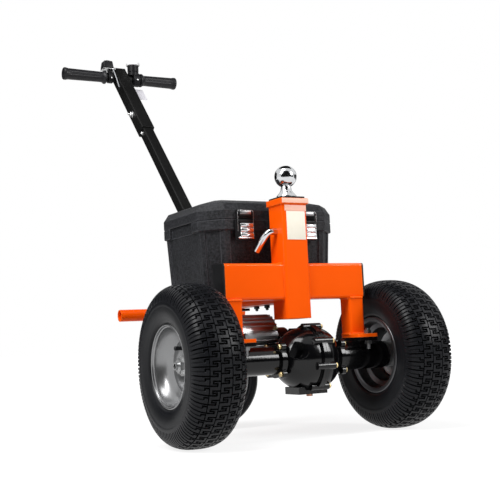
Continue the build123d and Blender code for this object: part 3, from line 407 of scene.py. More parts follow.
def rim_silver():
    """Silver paint: metal flake under a satin coat, with painted shade towards the inside of the wheel."""
    material, sheet = new_material("rim_silver")
    place = object_place(sheet)
    flake = noise(sheet, place, 1500.0, 2.0)
    broad = noise(sheet, place, 16.0, 3.0)
    silver = flake.mix(rgb(0.18, 0.182, 0.185), rgb(0.32, 0.322, 0.326))
    close_material(sheet, {
        # Inboard part of the rim darkened to a grey: painted shade.
        "Base Color": darkening(sheet).mix(silver, rgb(0.10, 0.10, 0.105)),
        "Metallic": 0.85,
        "Roughness": 0.25 + broad * 0.1,
        "Normal": bump(sheet, flake, 0.08, 0.0003),
    })
    return material


# Orange powder coat: slight mottle, orange peel, a gloss coat and painted highlights on its edges
ORANGE = finish("orange_powder_coat", rgb(0.92, 0.092, 0.0012), rgb(1.0, 0.11, 0.0018), (0.27, 0.1),
                (14.0, 4.0), (420.0, 2.0, 0.1, 0.0005), 0.003, (0.003, 3.0, rgb(1.0, 0.26, 0.03)),
                {"Specular IOR Level": 0.04, "Coat Weight": 0.22, "Coat Roughness": 0.05})
# Thick gloss black on castings, with cast grain under it
GLOSS_BLACK = finish("black_gloss_paint", rgb(0.0015, 0.0015, 0.0018), rgb(0.0035, 0.0035, 0.004),
                     (0.08, 0.12), (24.0, 3.0), (260.0, 3.0, 0.16, 0.0008), 0.0016,
                     shader={"Specular IOR Level": 0.22, "Coat Weight": 0.18, "Coat Roughness": 0.05})
# Satin black on the tiller's tubes, with a fine texture and painted highlights on its edges
SATIN_BLACK = finish("black_satin_paint", rgb(0.0035, 0.0035, 0.0036), rgb(0.008, 0.008, 0.0078),
                     (0.34, 0.14), (9.0, 3.0), (900.0, 2.0, 0.2, 0.0003), 0.001,
                     (0.003, 3.0, rgb(0.035, 0.036, 0.036)), {"Specular IOR Level": 0.16})
# Smooth black plastic of caps, catches and controls
CONTROL_PLASTIC = finish("control_plastic", rgb(0.005, 0.005, 0.0056), rgb(0.011, 0.011, 0.0125),
                         (0.33, 0.14), (40.0, 3.0), (700.0, 2.0, 0.14, 0.0004), 0.0008,
                         shader={"Specular IOR Level": 0.16})
# Matt black rubber of the grips
GRIP_RUBBER = finish("grip_rubber", rgb(0.006, 0.006, 0.007), rgb(0.013, 0.013, 0.015), (0.3, 0.14),
                     (60.0, 3.0), (1100.0, 2.0, 0.25, 0.0003), shader={"Specular IOR Level": 0.26})
BOX_PLASTIC = box_plastic()
TYRE_RUBBER = tyre_rubber()
RIM_SILVER = rim_silver()
CHROME = plated_metal("chrome", rgb(0.56, 0.57, 0.585), rgb(0.66, 0.67, 0.68), (0.1, 0.06))
ZINC = plated_metal("zinc", rgb(0.52, 0.53, 0.54), rgb(0.68, 0.68, 0.67), (0.24, 0.16))
YELLOW_ZINC = plated_metal("yellow_zinc", rgb(0.58, 0.44, 0.20), rgb(0.72, 0.58, 0.32), (0.24, 0.14))
MOTOR_ALLOY = plated_metal("motor_alloy", rgb(0.40, 0.40, 0.41), rgb(0.56, 0.56, 0.57), (0.26, 0.14),
                           0.0006)
DRAIN_COPPER = plated_metal("drain_copper", rgb(0.48, 0.22, 0.14), rgb(0.60, 0.32, 0.22), (0.28, 0.14))
BAIL_STEEL = plated_metal("bail_steel", rgb(0.24, 0.24, 0.245), rgb(0.36, 0.36, 0.365), (0.26, 0.1))
LEVER_PLATE = plated_metal("lever_plate", rgb(0.56, 0.56, 0.57), rgb(0.70, 0.70, 0.71), (0.2, 0.1))
LABEL_CREAM = printed_paper("label_cream", rgb(0.86, 0.80, 0.66), rgb(0.91, 0.86, 0.74))
# Peach of the band on the post, and of the painted highlight across the collar's front.
BAND_PEACH = printed_paper("band_peach", rgb(0.94, 0.50, 0.37), rgb(0.97, 0.56, 0.43))
TAG_WHITE = printed_paper("tag_white", rgb(0.58, 0.57, 0.61), rgb(0.66, 0.65, 0.69))
CAP_WHITE = printed_paper("cap_white", rgb(0.78, 0.78, 0.79), rgb(0.86, 0.86, 0.87))
# Black lead coloured grey: a painted highlight along it.
LEAD_HIGHLIGHT_GREY = printed_paper("lead_painted_highlight", rgb(0.30, 0.31, 0.33), rgb(0.42, 0.43, 0.45))

# Finish of the CAD nodes
NODE_FINISH = {
    ORANGE: ("cross_beam", "receiver_post", "post_collar", "beam_legs", "foot_plates", "spine_tube",
             "platform", "rear_crossbar", "handle_bracket"),
    GLOSS_BLACK: ("axle_tube_left", "axle_tube_right", "diff_case_left", "diff_case_right",
                  "motor_gear_case", "axle_saddles"),
    BAIL_STEEL: ("foot_bolts",),
    SATIN_BLACK: ("handle_lower_tube", "handle_upper_tube", "ball_mount", "handlebar", "caster_mount",
                  "caster_fork"),
    BOX_PLASTIC: ("battery_box", "box_lid", "hinge_brackets"),
    CONTROL_PLASTIC: ("beam_end_caps", "switch_box", "throttle_pod", "batteries", "lid_catches"),
    TYRE_RUBBER: ("wheel_left_tyre", "wheel_right_tyre", "caster_tyre"),
    RIM_SILVER: ("wheel_left_rim", "wheel_right_rim", "caster_rim"),
    CHROME: ("hitch_ball", "hitch_pin", "latch_levers"),
    ZINC: ("handle_bolts", "throttle_cap", "caster_axle", "wheel_left_hub", "wheel_right_hub"),
    MOTOR_ALLOY: ("motor_body",),
    GRIP_RUBBER: ("grips",),
    DRAIN_COPPER: ("drain_plug",),
    LEAD_HIGHLIGHT_GREY: ("switch_lead",),
}


def dress_nodes():
    """Gives every CAD node its finish."""
    for material, nodes in NODE_FINISH.items():
        for name in nodes:
            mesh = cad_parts[name].data
            mesh.materials.clear()
            mesh.materials.append(material)


def grid(points, round_u=False, round_v=False):
    """Quads between neighbours of a sheet of rows and columns of points, closed round where asked."""
    rows, columns = points.shape[:2]
    index = np.arange(rows * columns).reshape(rows, columns)
    if round_u:
        index = np.vstack([index, index[:1]])
    if round_v:
        index = np.hstack([index, index[:, :1]])
    quads = np.stack([index[:-1, :-1], index[1:, :-1], index[1:, 1:], index[:-1, 1:]], -1)
    return points.reshape(-1, 3), quads.reshape(-1, 4)


def piece(name, shapes, slot, material, replaces=(), body="chassis", sharp=35.0, dark=None):
    """One object from (points, quads) shapes: points go to the frame's metres, doubles merge so that poles
    and seams close, faces are turned outwards, and edges over the sharp angle stay crisp. The painted
    shade share is a value for each point of painted shade, kept as the attribute that its material reads."""
    starts = np.cumsum([0] + [len(points) for points, _ in shapes])
    points = (np.concatenate([points for points, _ in shapes]) + SHIFT) * MM
    quads = np.concatenate([quads + start for (_, quads), start in zip(shapes, starts)])
    mesh = bpy.data.meshes.new(name)
    mesh.from_pydata(points.tolist(), [], quads.tolist())
    if dark is not None:
        values = mesh.attributes.new("darkening", "FLOAT", "POINT").data
        values.foreach_set("value", dark.astype(np.float32))
    build = bmesh.new()
    build.from_mesh(mesh)
    bmesh.ops.remove_doubles(build, verts=build.verts, dist=2e-6)
    bmesh.ops.recalc_face_normals(build, faces=build.faces)
    build.to_mesh(mesh)
    build.free()
    mesh.polygons.foreach_set("use_smooth", np.ones(len(mesh.polygons), bool))
    mesh.set_sharp_from_angle(angle=radians(sharp))
    mesh.materials.append(material)
    made = bpy.data.objects.new(name, mesh)
    bpy.context.scene.collection.objects.link(made)
    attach(made, body)
    if replaces:
        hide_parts(*replaces)
    return made


def turned(shape, angle, axis=0):
    """Shape turned about X, Y or Z through the origin."""
    points, quads = shape
    first, second = [(1, 2), (2, 0), (0, 1)][axis]
    result = points.copy()
    result[:, first] = points[:, first] * cos(angle) - points[:, second] * sin(angle)
    result[:, second] = points[:, first] * sin(angle) + points[:, second] * cos(angle)
    return result, quads


def moved(shape, x=0.0, y=0.0, z=0.0):
    return shape[0] + np.array([x, y, z]), shape[1]


def mirrored(shape):
    """Shape seen in the plane x = 0."""
    return shape[0] * np.array([-1.0, 1.0, 1.0]), shape[1]


def upright(shape):
    """Turns a shape spun about X so that its axis runs up Z."""
    return shape[0][:, [1, 2, 0]], shape[1]


def spun(outline, steps=64, closed=False):
    """Outline of (along, radius) turned about X: point = (along, radius cos a, radius sin a)."""
    outline = np.asarray(outline, float)
    angle = np.linspace(0, 2 * pi, steps, endpoint=False)
    ring = np.stack([np.zeros(steps), np.cos(angle), np.sin(angle)], -1)
    points = outline[:, None, 1:] * ring[None] + outline[:, None, :1] * np.array([1.0, 0.0, 0.0])
    return grid(points, round_u=closed, round_v=True)


def arc(along, radius, size, start, end, steps=7):
    """Points of a round corner of an outline, from one angle to another in degrees."""
    angle = np.radians(np.linspace(start, end, steps))
    return list(zip(along + size * np.cos(angle), radius + size * np.sin(angle)))


def circle(radius, steps):
    angle = np.linspace(0, 2 * pi, steps, endpoint=False)
    return radius * np.stack([np.cos(angle), np.sin(angle)], -1)


def swept(profile, path, up, swell=None):
    """Profile carried along a path: its first number goes sideways, square to path and up, its second goes
    square to both; swell scales it from point to point. The ends are closed by pulling them to the path."""
    along = np.gradient(path, axis=0)
    along /= np.linalg.norm(along, axis=1, keepdims=True)
    side = np.cross(along, np.asarray(up, float))
    side /= np.linalg.norm(side, axis=1, keepdims=True)
    rise = np.cross(side, along)
    size = np.ones(len(path)) if swell is None else swell
    shape = profile[None] * size[:, None, None]
    rings = path[:, None] + shape[..., :1] * side[:, None] + shape[..., 1:] * rise[:, None]
    ends = np.ones((1, len(profile), 1))
    return grid(np.concatenate([path[:1, None] * ends, rings, path[-1:, None] * ends]), round_v=True)


def rounded_path(corners, radius, steps=6):
    """Path through corners, each rounded by a quadratic curve from one side of the corner to the other."""
    corners = np.asarray(corners, float)
    share = np.linspace(0, 1, steps)[:, None]
    path = [corners[:1]]
    for before, corner, after in zip(corners[:-2], corners[1:-1], corners[2:]):
        start, end = (corner + (other - corner) * min(0.49, radius / np.linalg.norm(other - corner))
                      for other in (before, after))
        path.append((1 - share) ** 2 * start + 2 * share * (1 - share) * corner + share ** 2 * end)
    path.append(corners[-1:])
    return np.concatenate(path)


def weld_bead(start, end, up, radius=2.6):
    """Weld bead along a straight seam: a round section whose radius rises and falls as a sine of the way,
    on a path that wanders a little along up."""
    ripple = 3.4
    start, end, up = (np.asarray(part, float) for part in (start, end, up))
    length = np.linalg.norm(end - start)
    way = np.linspace(0, length, int(length / (ripple / 4)) + 1)
    path = start + (end - start) * (way / length)[:, None] + 0.35 * np.sin(way / 9.0)[:, None] * up
    swell = 1 + 0.16 * np.sin(2 * pi * way / ripple) + 0.1 * np.sin(way / 7.0)
    swell[[0, -1]] *= 0.5
    return swept(circle(radius, 8), path, up, swell)


def hex_head(across, height):
    """Hexagon head along +X from x = 0, with a chamfered top: a six-sided spin."""
    radius = across / np.sqrt(3)
    return spun([(0, 0), (0, radius), (height * 0.82, radius), (height, radius * 0.86), (height, 0)], 6)


def washer(radius, thick):
    """Round washer along +X from x = 0, with a softened rim."""
    edge = thick * 0.3
    return spun([(0, 0), (0, radius - edge), (edge, radius), (thick - edge, radius), (thick, radius - edge),
                 (thick, 0)], 24)


def bolt_head(at, washer_r, washer_t, across, height):
    """Washer and hexagon head along +X from x = at."""
    return [moved(washer(washer_r, washer_t), at), moved(hex_head(across, height), at + washer_t)]


def dome(radius, height):
    """Low round head along +X from x = 0: a quarter ellipse turned about its axis."""
    angle = np.linspace(0, pi / 2, 6)
    return spun([(0, 0)] + list(zip(height * np.sin(angle), radius * np.cos(angle))), 16)


def soft_block(size, corner, steps=5):
    """Block with round edges: a sheet over directions round and up, where a point is the nearest corner of
    the smaller block plus a sphere of the edge's radius. Its first and last rows go to the poles."""
    half = np.asarray(size, float) / 2 - corner
    quarter = np.linspace(0, pi / 2, steps)
    around = np.concatenate([quarter + turn * pi / 2 for turn in range(4)])
    lift = np.concatenate([quarter - pi / 2, quarter])[:, None]
    sphere = (np.cos(lift) * np.cos(around), np.cos(lift) * np.sin(around), np.sin(lift))
    corners = (np.repeat([1, -1, -1, 1], steps), np.repeat([1, 1, -1, -1], steps),
               np.repeat([-1, 1], steps)[:, None])
    flat = np.stack(np.broadcast_arrays(*corners), -1)
    sheet = flat * half + corner * np.stack(np.broadcast_arrays(*sphere), -1)
    poles = sheet[[0, -1]] * np.array([0.0, 0.0, 1.0])
    return grid(np.concatenate([poles[:1], sheet, poles[1:]]), round_v=True)


def tyre_section(radius, width, belly_r, bead_r, bead_w):
    """Half section of a tyre from the middle of the tread to the bead: way along it, (x, r) points and
    outward normals. Above the belly it is a superellipse of power 2.6, below a plain ellipse."""
    power = 2.6
    turn = np.linspace(0, pi / 2, 200)
    upper_x = width / 2 * np.sin(turn) ** (2 / power)
    upper_r = belly_r + (radius - belly_r) * np.cos(turn) ** (2 / power)
    lower_r = np.linspace(belly_r, bead_r, 100)[1:]
    fall = (belly_r - lower_r) / (belly_r - bead_r)
    lower_x = bead_w / 2 + (width - bead_w) / 2 * np.sqrt(1 - fall ** 2)
    outline = np.stack([np.concatenate([upper_x, lower_x]), np.concatenate([upper_r, lower_r])], -1)
    way = np.concatenate([[0], np.cumsum(np.linalg.norm(np.diff(outline, axis=0), axis=1))])
    along = np.gradient(outline, axis=0)
    normal = np.stack([-along[:, 1], along[:, 0]], -1)
    return way, outline, normal / np.linalg.norm(normal, axis=1, keepdims=True)


def doubled(edges, slope):
    """Each edge as two lines, one on each side, so that a groove's wall is steep."""
    return np.concatenate([np.asarray(edges) - slope, np.asarray(edges) + slope])


def at_level(turn, level):
    """Where a turn, in pitches, lies in the groove at a level."""
    return np.abs((turn - level + 0.5) % 1.0 - 0.5) < GROOVE_HALF


def s_groove(share, turn, half):
    """Square S across a row once a pitch: level runs at a quarter, a half and three quarters of the pitch,
    and two stems between them. Share is the place in the row, half a stem's half width."""
    inner = at_level(turn, 0.25) & (share < STEM_HIGH + half)
    middle = at_level(turn, 0.5) & (share > STEM_LOW - half) & (share < STEM_HIGH + half)
    outer = at_level(turn, 0.75) & (share > STEM_LOW - half)
    first = (np.abs(share - STEM_HIGH) < half) & (turn > 0.25) & (turn < 0.5)
    second = (np.abs(share - STEM_LOW) < half) & (turn > 0.5) & (turn < 0.75)
    return (share >= 0) & (share <= 1) & (inner | middle | outer | first | second)


def tread_depth(place, turn):
    """How deep the tread is cut at a place along the section and a turn within one pitch: an S across each
    row, a gap outside it, and at the shoulder bars a deep groove, a hooked short one and a faint one."""
    reach = np.abs(place)
    sunk = np.zeros_like(place)
    for inner, outer, offset in TREAD_ROWS:
        for side in ((1,) if inner < 0 else (1, -1)):
            share = (side * place - inner) / (outer - inner)
            cut = s_groove(share, (turn - offset * side) % 1.0, GROOVE_HALF_MM / (outer - inner))
            sunk = np.maximum(sunk, GROOVE_DEPTH * cut)
        sunk = np.maximum(sunk, GAP_DEPTH * ((reach > outer) & (reach < outer + ROW_GAP)))
    turn = np.where(place > 0, turn, 1 - turn)
    hook = (np.abs(reach - BAR_HOOK) < GROOVE_HALF_MM) & (turn > 0.25) & (turn < 0.5)
    short = at_level(turn, 0.25) & (reach < BAR_HOOK + GROOVE_HALF_MM)
    deep = GROOVE_DEPTH * (at_level(turn, 0.0) | short | hook)
    faint = FAINT_DEPTH * (at_level(turn, 0.5) & (reach > BAR_HOOK))
    fade = np.clip((BAR_END - reach) / BAR_FADE, 0, 1) * (reach > BAR_START)
    return np.maximum(sunk, fade * np.maximum(deep, faint))


def tread_tyre():
    """Turf tyre about X. Over the way along its section and the turn round it, the surface is the section
    set back along its normal by the tread's depth, with two raised rings on each side wall. Lines stand on
    both sides of each groove's edge. Gives the shape and, for each point, how deep in a groove it is, which
    sets its painted shade."""
    way, outline, normal = tyre_section(TYRE_R, TYRE_W, BELLY_R, BEAD_R, BEAD_W)
    quarter = np.arange(4) / 4
    levels = doubled(np.concatenate([quarter - GROOVE_HALF, quarter + GROOVE_HALF]), GROOVE_WALL / PITCH)
    turn = (np.arange(TREAD_PITCHES)[:, None] + np.sort(levels % 1.0)).ravel()
    inner, outer, _ = np.array(TREAD_ROWS).T
    stems = inner + (outer - inner) * np.array([[STEM_LOW], [STEM_HIGH]])
    rows = np.abs(np.concatenate([[inner, outer], stems - GROOVE_HALF_MM, stems + GROOVE_HALF_MM]).ravel())
    bars = [BAR_START, BAR_HOOK - GROOVE_HALF_MM, BAR_HOOK + GROOVE_HALF_MM, BAR_END]
    shoulder = np.linspace(BAR_HOOK + 7, BAR_END - 3, 5)
    wall = np.linspace(BAR_END + 1.2, way[-1], 16)
    lines = np.concatenate([doubled(rows, GROOVE_WALL), doubled(bars, GROOVE_WALL), shoulder, wall])
    across = np.unique(np.round(np.concatenate([lines, -lines]), 3))
    place, step = np.meshgrid(across, turn, indexing="ij")
    reach = np.abs(place)
    sunk = tread_depth(place, step % 1.0)
    # How deep in a groove each point is: its share of painted shade.
    dark = np.clip(sunk / GROOVE_DEPTH, 0, 1).ravel()
    upper_ring = 0.9 * np.exp(-((reach - BAR_END - 5) / 1.4) ** 2)
    lower_ring = 0.8 * np.exp(-((reach - way[-1] + 9) / 1.6) ** 2)
    sunk = sunk - (upper_ring + lower_ring) * (reach > BAR_END)
    columns = np.concatenate([outline, normal], 1).T
    x, r, normal_x, normal_r = (np.interp(reach, way, column) for column in columns)
    x = np.sign(place) * (x - sunk * normal_x)
    r = r - sunk * normal_r
    angle = 2 * pi * step / TREAD_PITCHES
    return grid(np.stack([x, r * np.cos(angle), r * np.sin(angle)], -1), round_v=True), dark


def rim_section():
    """Closed section of the pressed rim: rolled flanges, a bowl that falls to the disc, and the back."""
    half = RIM_W / 2
    lip_r = RIM_FLANGE_R - RIM_LIP_R
    lip_x = half - RIM_LIP_R
    outer = [(-half + 6, 80), (-24, 80), (-20, 69), (DISC_X + 4, 68), (DISC_X + 12, 75.5), (31, 81.6),
             (39, 84.6)]
    bowl = [(half - 0.8, lip_r - 1.4), (half - 4, lip_r - 2.4), (half - 5.5, lip_r - 4.4),
            (half - 9, lip_r - 4.6), (38, 79.8), (30, 77.4), (DISC_X + 11, 71.5), (DISC_X + 7, 66),
            (DISC_X + 5, 62)]
    back = [(-22, 62.5), (-26, 73), (-lip_x, 77)]
    outer_lip, inner_lip = (arc(x, lip_r, RIM_LIP_R, 180, 0, 9) for x in (lip_x, -lip_x))
    return outer + outer_lip + bowl + back + inner_lip


def plate_outline(front, thick):
    """Outline of a pressed plate: its front and, a thickness behind, its back."""
    return front + [(x - thick, r) for x, r in reversed(front)]


def wheel_disc():
    """Pressed disc in the rim: a dished outline spun about X, with a rolled edge and a raised middle."""
    front = [(3, 0), (3, 22), (5, 28), (5, 44), (1, 54), (6, 62.8)]
    return moved(spun(plate_outline(front, DISC_T), 72), DISC_X)


def wheel(name, side):
    """Tyre, rim, valve and shaft plug of one drive wheel, on its own body; side is -1 for the left one."""
    body = f"wheel_{name}"

    def fit(part, shapes, slot, material, replaces=(), **options):
        sided = shapes if side > 0 else [mirrored(shape) for shape in shapes]
        placed = [moved(shape, side * WHEEL_X, 0.0, AXLE_Z) for shape in sided]
        piece(f"{body}_{part}", placed, slot, material, replaces, body, **options)

    tyre, dark = tread_tyre()
    fit("tread_tyre", [tyre], "tyre_rubber", TYRE_RUBBER, [f"{body}_tyre"], sharp=30, dark=dark)
    rim = [spun(rim_section(), 96, closed=True), wheel_disc()]
    # Painted shade on the rim, rising inboard of its disc.
    depth = np.concatenate([points for points, _ in rim])[:, 0]
    dark = np.clip((DISC_X - depth) / RIM_SHADE_RUN, 0, 1)
    fit("pressed_rim", rim, "rim_silver", RIM_SILVER, [f"{body}_rim"], dark=dark)
    hub_low, hub_high = box_mm(f"{body}_hub")
    end = max(-hub_low[0], hub_high[0]) - WHEEL_X
    fit("shaft_plug", [moved(dome(5.6, 1.8), end - 0.2)], "black_paint", GLOSS_BLACK)
    stem = spun([(0, 0), (0, 7), (4, 7), (7, 5), (22, 4), (24, 4.6), (32, 4.6), (33, 3.6), (33, 0)], 20)
    fit("valve", [turned(moved(stem, DISC_X + 3, VALVE_R), VALVE_TURN)], "grip_rubber", GRIP_RUBBER)


def caster_wheel():
    """Caster's ribbed tyre, a tyre's section set back along its normal in four grooves, and pressed rim."""
    steps = 96

    def fit(name, shapes, slot, material, replaces, **options):
        placed = [moved(turned(shape, CASTER_TURN, 2), CASTER_X, CASTER_Y, CASTER_R) for shape in shapes]
        piece(name, placed, slot, material, replaces, "caster_wheel", **options)

    way, outline, normal = tyre_section(CASTER_R, CASTER_W, CASTER_BELLY_R, CASTER_FLANGE_R + 0.3,
                                        CASTER_BEAD_W)
    near = np.min(np.abs(way - np.array(CASTER_RIBS)[:, None]), 0)
    sunk = np.clip(2.0 - 1.6 * near, 0, 1)
    half = outline - CASTER_RIB_DEPTH * sunk[:, None] * normal
    section = np.concatenate([half[::-1] * np.array([-1.0, 1.0]), half[1:]])
    # Rib grooves darkened: painted shade.
    dark = np.repeat(np.concatenate([sunk[::-1], sunk[1:]]), steps)
    fit("caster_ribbed_tyre", [spun(section, steps)], "tyre_rubber", TYRE_RUBBER, ["caster_tyre"], sharp=30,
        dark=dark)
    lip = CASTER_RIM_HALF - CASTER_LIP_R
    lip_r = CASTER_FLANGE_R - CASTER_LIP_R
    seat = CASTER_FLANGE_R - 6
    outer_lip, inner_lip = (arc(x, lip_r, CASTER_LIP_R, 180, 0) for x in (lip, -lip))
    well = [(lip + 2, seat - 1), (lip - 1, seat - 3), (1 - lip, seat - 3), (-lip - 2, seat - 1)]
    barrel = [(-lip + 2, seat), (lip - 2, seat)] + outer_lip + well + inner_lip
    front = [(3, CASTER_HUB_R - 2), (3, 26), (7, 34), (7, 46), (1, 62), (-1, 80), (3, seat - 2.8)]
    end = CASTER_HUB_HALF
    hub = [(-end, 0), (-end, CASTER_HUB_R - 2), (1.2 - end, CASTER_HUB_R), (end - 1.2, CASTER_HUB_R),
           (end, CASTER_HUB_R - 2), (end, 0)]
    disc = spun(plate_outline(front, DISC_T), 72, closed=True)
    rim = [spun(barrel, steps, closed=True), disc, spun(hub, 40)]
    fit("caster_pressed_rim", rim, "rim_silver", RIM_SILVER, ["caster_rim"])


def post_plate(width, height, x, y, z):
    """Thin upright plate with soft edges."""
    return moved(soft_block((width, PLATE_T, height), 0.35), x, y, z)


def hitch():
    """Chrome ball with its sloped base, a spin; the bent pin, a circle carried along a rounded path; the
    blank label, the pale band on the post and, across the collar's front, a pale band that is a painted
    highlight."""
    ball_low, ball_high = box_mm("hitch_ball")
    foot, top = ball_low[2], ball_high[2]
    base = [(foot, 0), (foot, 22), (foot + 2.5, 23), (foot + 5, 22.2), (foot + 13, 15.5), (foot + 17, 13)]
    sphere = arc(top + BALL_FLAT - BALL_R, 0.0, BALL_R, 154, 25, 30)
    ball = spun(base + sphere + [(top - 0.1, 9.6), (top, 8.6), (top, 0)], 72)
    piece("chrome_ball", [moved(upright(ball), 0, POST_Y, 0)], "chrome", CHROME, ["hitch_ball"])
    pin_high = box_mm("hitch_pin")[1]
    pin_z = pin_high[2] - PIN_SOLID_R
    drop = PIN_GRIP_L * sin(PIN_FALL)
    end = (-POST_HALF - PIN_OUT - PIN_GRIP_L * cos(PIN_FALL), POST_Y + drop * sin(PIN_LEAN),
           pin_z - drop * cos(PIN_LEAN))
    line = [(x, POST_Y, pin_z) for x in (pin_high[0], -POST_HALF + 2.0, -POST_HALF - PIN_CORNER)]
    pin = swept(circle(PIN_R, 24), rounded_path(line + [end], PIN_ROUNDING, 12), (0.0, 0.8, 0.6))
    piece("chrome_pin", [pin], "chrome", CHROME, ["hitch_pin"])
    face, post_top = POST_LOW[1], POST_HIGH[2]
    collar_z = (COLLAR_LOW[2] + COLLAR_HIGH[2]) / 2
    label = post_plate(48, 64, 2.0, face - 0.3, post_top - LABEL_DOWN)
    piece("blank_label", [label], "frame_orange", LABEL_CREAM)
    bands = [post_plate(56, 13, 2.0, face - 0.28, post_top - BAND_DOWN),
             # The first band is a pale strip on the post; the second, across the collar's front, is a
             # painted highlight.
             post_plate(69, 10.5, 0.6, COLLAR_LOW[1] - 0.28, collar_z + 0.6)]
    piece("pale_band_and_collar_highlight", bands, "frame_orange", BAND_PEACH)


def welds():
    """Weld beads where the tubes of the frame meet: seams on the right side, their mirror images, and one
    across the post's front. Each seam is start, end, the direction square to it and the bead's radius."""
    up, back = (0, 0, 1), (0, 1, 0)
    half, collar = POST_HALF, COLLAR_LOW[2]
    front_y, back_y = BEAM_LOW[1], BEAM_HIGH[1]
    low, top = BEAM_LOW[2], BEAM_HIGH[2]
    leg_out, leg_in = LEG_HIGH[0], LEG_HIGH[0] - LEG_W
    leg_front, leg_back = LEG_LOW[1], LEG_HIGH[1]
    seams = [((half, front_y + 3, top), (half, back_y - 3, top), up, 2.6),
             ((half, front_y + 3, low), (half, back_y - 3, low), up, 2.6),
             ((half, front_y, low + 4), (half, front_y, top - 4), back, 2.2),
             ((half, POST_LOW[1] + 4, collar), (half, POST_HIGH[1] - 4, collar), up, 2.4)]
    for z, radius in ((low, 2.8), (FOOT_TOP_Z, 3.0)):
        seams += [((leg_in + 3, y, z), (leg_out - 3, y, z), up, radius) for y in (leg_front, leg_back)]
        seams.append(((leg_in, leg_front + 3, z), (leg_in, leg_back - 3, z), up, radius))
    beads = [weld_bead(*seam) for seam in seams]
    beads += [mirrored(bead) for bead in beads]
    beads.append(weld_bead((-half + 4, POST_LOW[1], collar), (half - 4, POST_LOW[1], collar), up, 2.4))
    piece("weld_beads", beads, "frame_orange", ORANGE, sharp=60)


def octagon_lines(lines_of):
    """Points round the box's plan at its outer edge, the direction in which each moves when the plan is
    inset by 1, the number of its side and its distance from that side's nearer corner. lines_of(length)
    gives the distances to use along a side."""
    quarter = np.array([(BOX_HALF_W, BOX_HALF_L - BOX_CHAMFER), (BOX_HALF_W - BOX_CHAMFER, BOX_HALF_L)])
    left = quarter[::-1] * np.array([-1, 1])
    corners = np.concatenate([quarter, left, -quarter, -left])
    after = np.roll(corners, -1, 0)
    way = after - corners
    length = np.linalg.norm(way, axis=1)
    normal = np.stack([way[:, 1], -way[:, 0]], -1) / length[:, None]
    before = np.roll(normal, 1, 0)
    mitre = (before + normal) / (1 + np.sum(before * normal, 1, keepdims=True))
    lines = [lines_of(side_length) for side_length in length]
    side = np.repeat(np.arange(8), [len(part) for part in lines])
    at = np.concatenate(lines)
    share = (at / length[side])[:, None]
    plan = corners[side] * (1 - share) + after[side] * share
    inward = -(mitre[side] * (1 - share) + np.roll(mitre, -1, 0)[side] * share)
    return plan, inward, side, np.minimum(at, length[side] - at)


def moulded_inset(inset, kind, side, from_corner):
    """Inset of a row from the plan's edge, point by point: strips stand out of the body near each corner,
    the rim band is left off the middle of the long sides, and outside every upright corner is softened."""
    value = np.full(len(side), float(inset))
    if kind == "body":
        value = value - STRIP_T * (from_corner < STRIP_W)
    if kind == "band":
        value = np.where((side % 4 == 3) & (from_corner > BAND_TAB_W), BAND_HOLLOW, value)
    return value + CORNER_SOFT * (from_corner < 0.1) * (kind != "inner")


def octagon_shell(lines_of, rows):
    """Sheet over the plan's points and the rows: point = plan + inset x inward at the row's height, or the
    plan's middle where a row has no inset. Rows are (height, inset or None, kind)."""
    plan, inward, side, from_corner = octagon_lines(lines_of)
    sheet = []
    for height, inset, kind in rows:
        flat = np.zeros_like(plan)
        if inset is not None:
            flat = plan + inward * moulded_inset(inset, kind, side, from_corner)[:, None]
        sheet.append(np.column_stack([flat[:, 0], flat[:, 1] + BOX_Y, np.full(len(plan), height)]))
    return grid(np.stack(sheet), round_v=True)


def box_lines(length):
    """Distances along one side of the box: soft corners, strip edges and, on the long sides, tab edges."""
    half = [0.0, CORNER_RUN]
    for width in (STRIP_W, BAND_TAB_W):
        half += [width - STEP_RUN, width + STEP_RUN]
    half = [line for line in half if line < length / 2 - 1]
    return half + [length / 2] + [length - line for line in reversed(half[1:])]


def lid_lines(length):
    """Distances along one side of the lid: soft corners and the middle."""
    return [0.0, CORNER_RUN, length / 2, length - CORNER_RUN]


def battery_box():
    """Moulded box: drafted body with corner strips, a thick rim band with grip hollows, and its inside."""
    foot = BOX_LOW[2]
    band = SPLIT_Z - BAND_H
    rows = [(foot, None, "body"), (foot, 19.0, "body"), (foot + 2, 16.4, "body"), (band - 0.2, 8.2, "body"),
            (band, 1.4, "band"), (band + 1.6, 0.0, "band"), (SPLIT_Z - 1.6, 0.0, "band"),
            (SPLIT_Z, 1.4, "band"), (SPLIT_Z, 12.0, "inner"), (band, 12.2, "inner"),
            (foot + BOX_WALL, 20.0, "inner"), (foot + BOX_WALL, None, "inner")]
    shell = octagon_shell(box_lines, rows)
    piece("moulded_box", [shell], "box_plastic", BOX_PLASTIC, ["battery_box"], sharp=10)


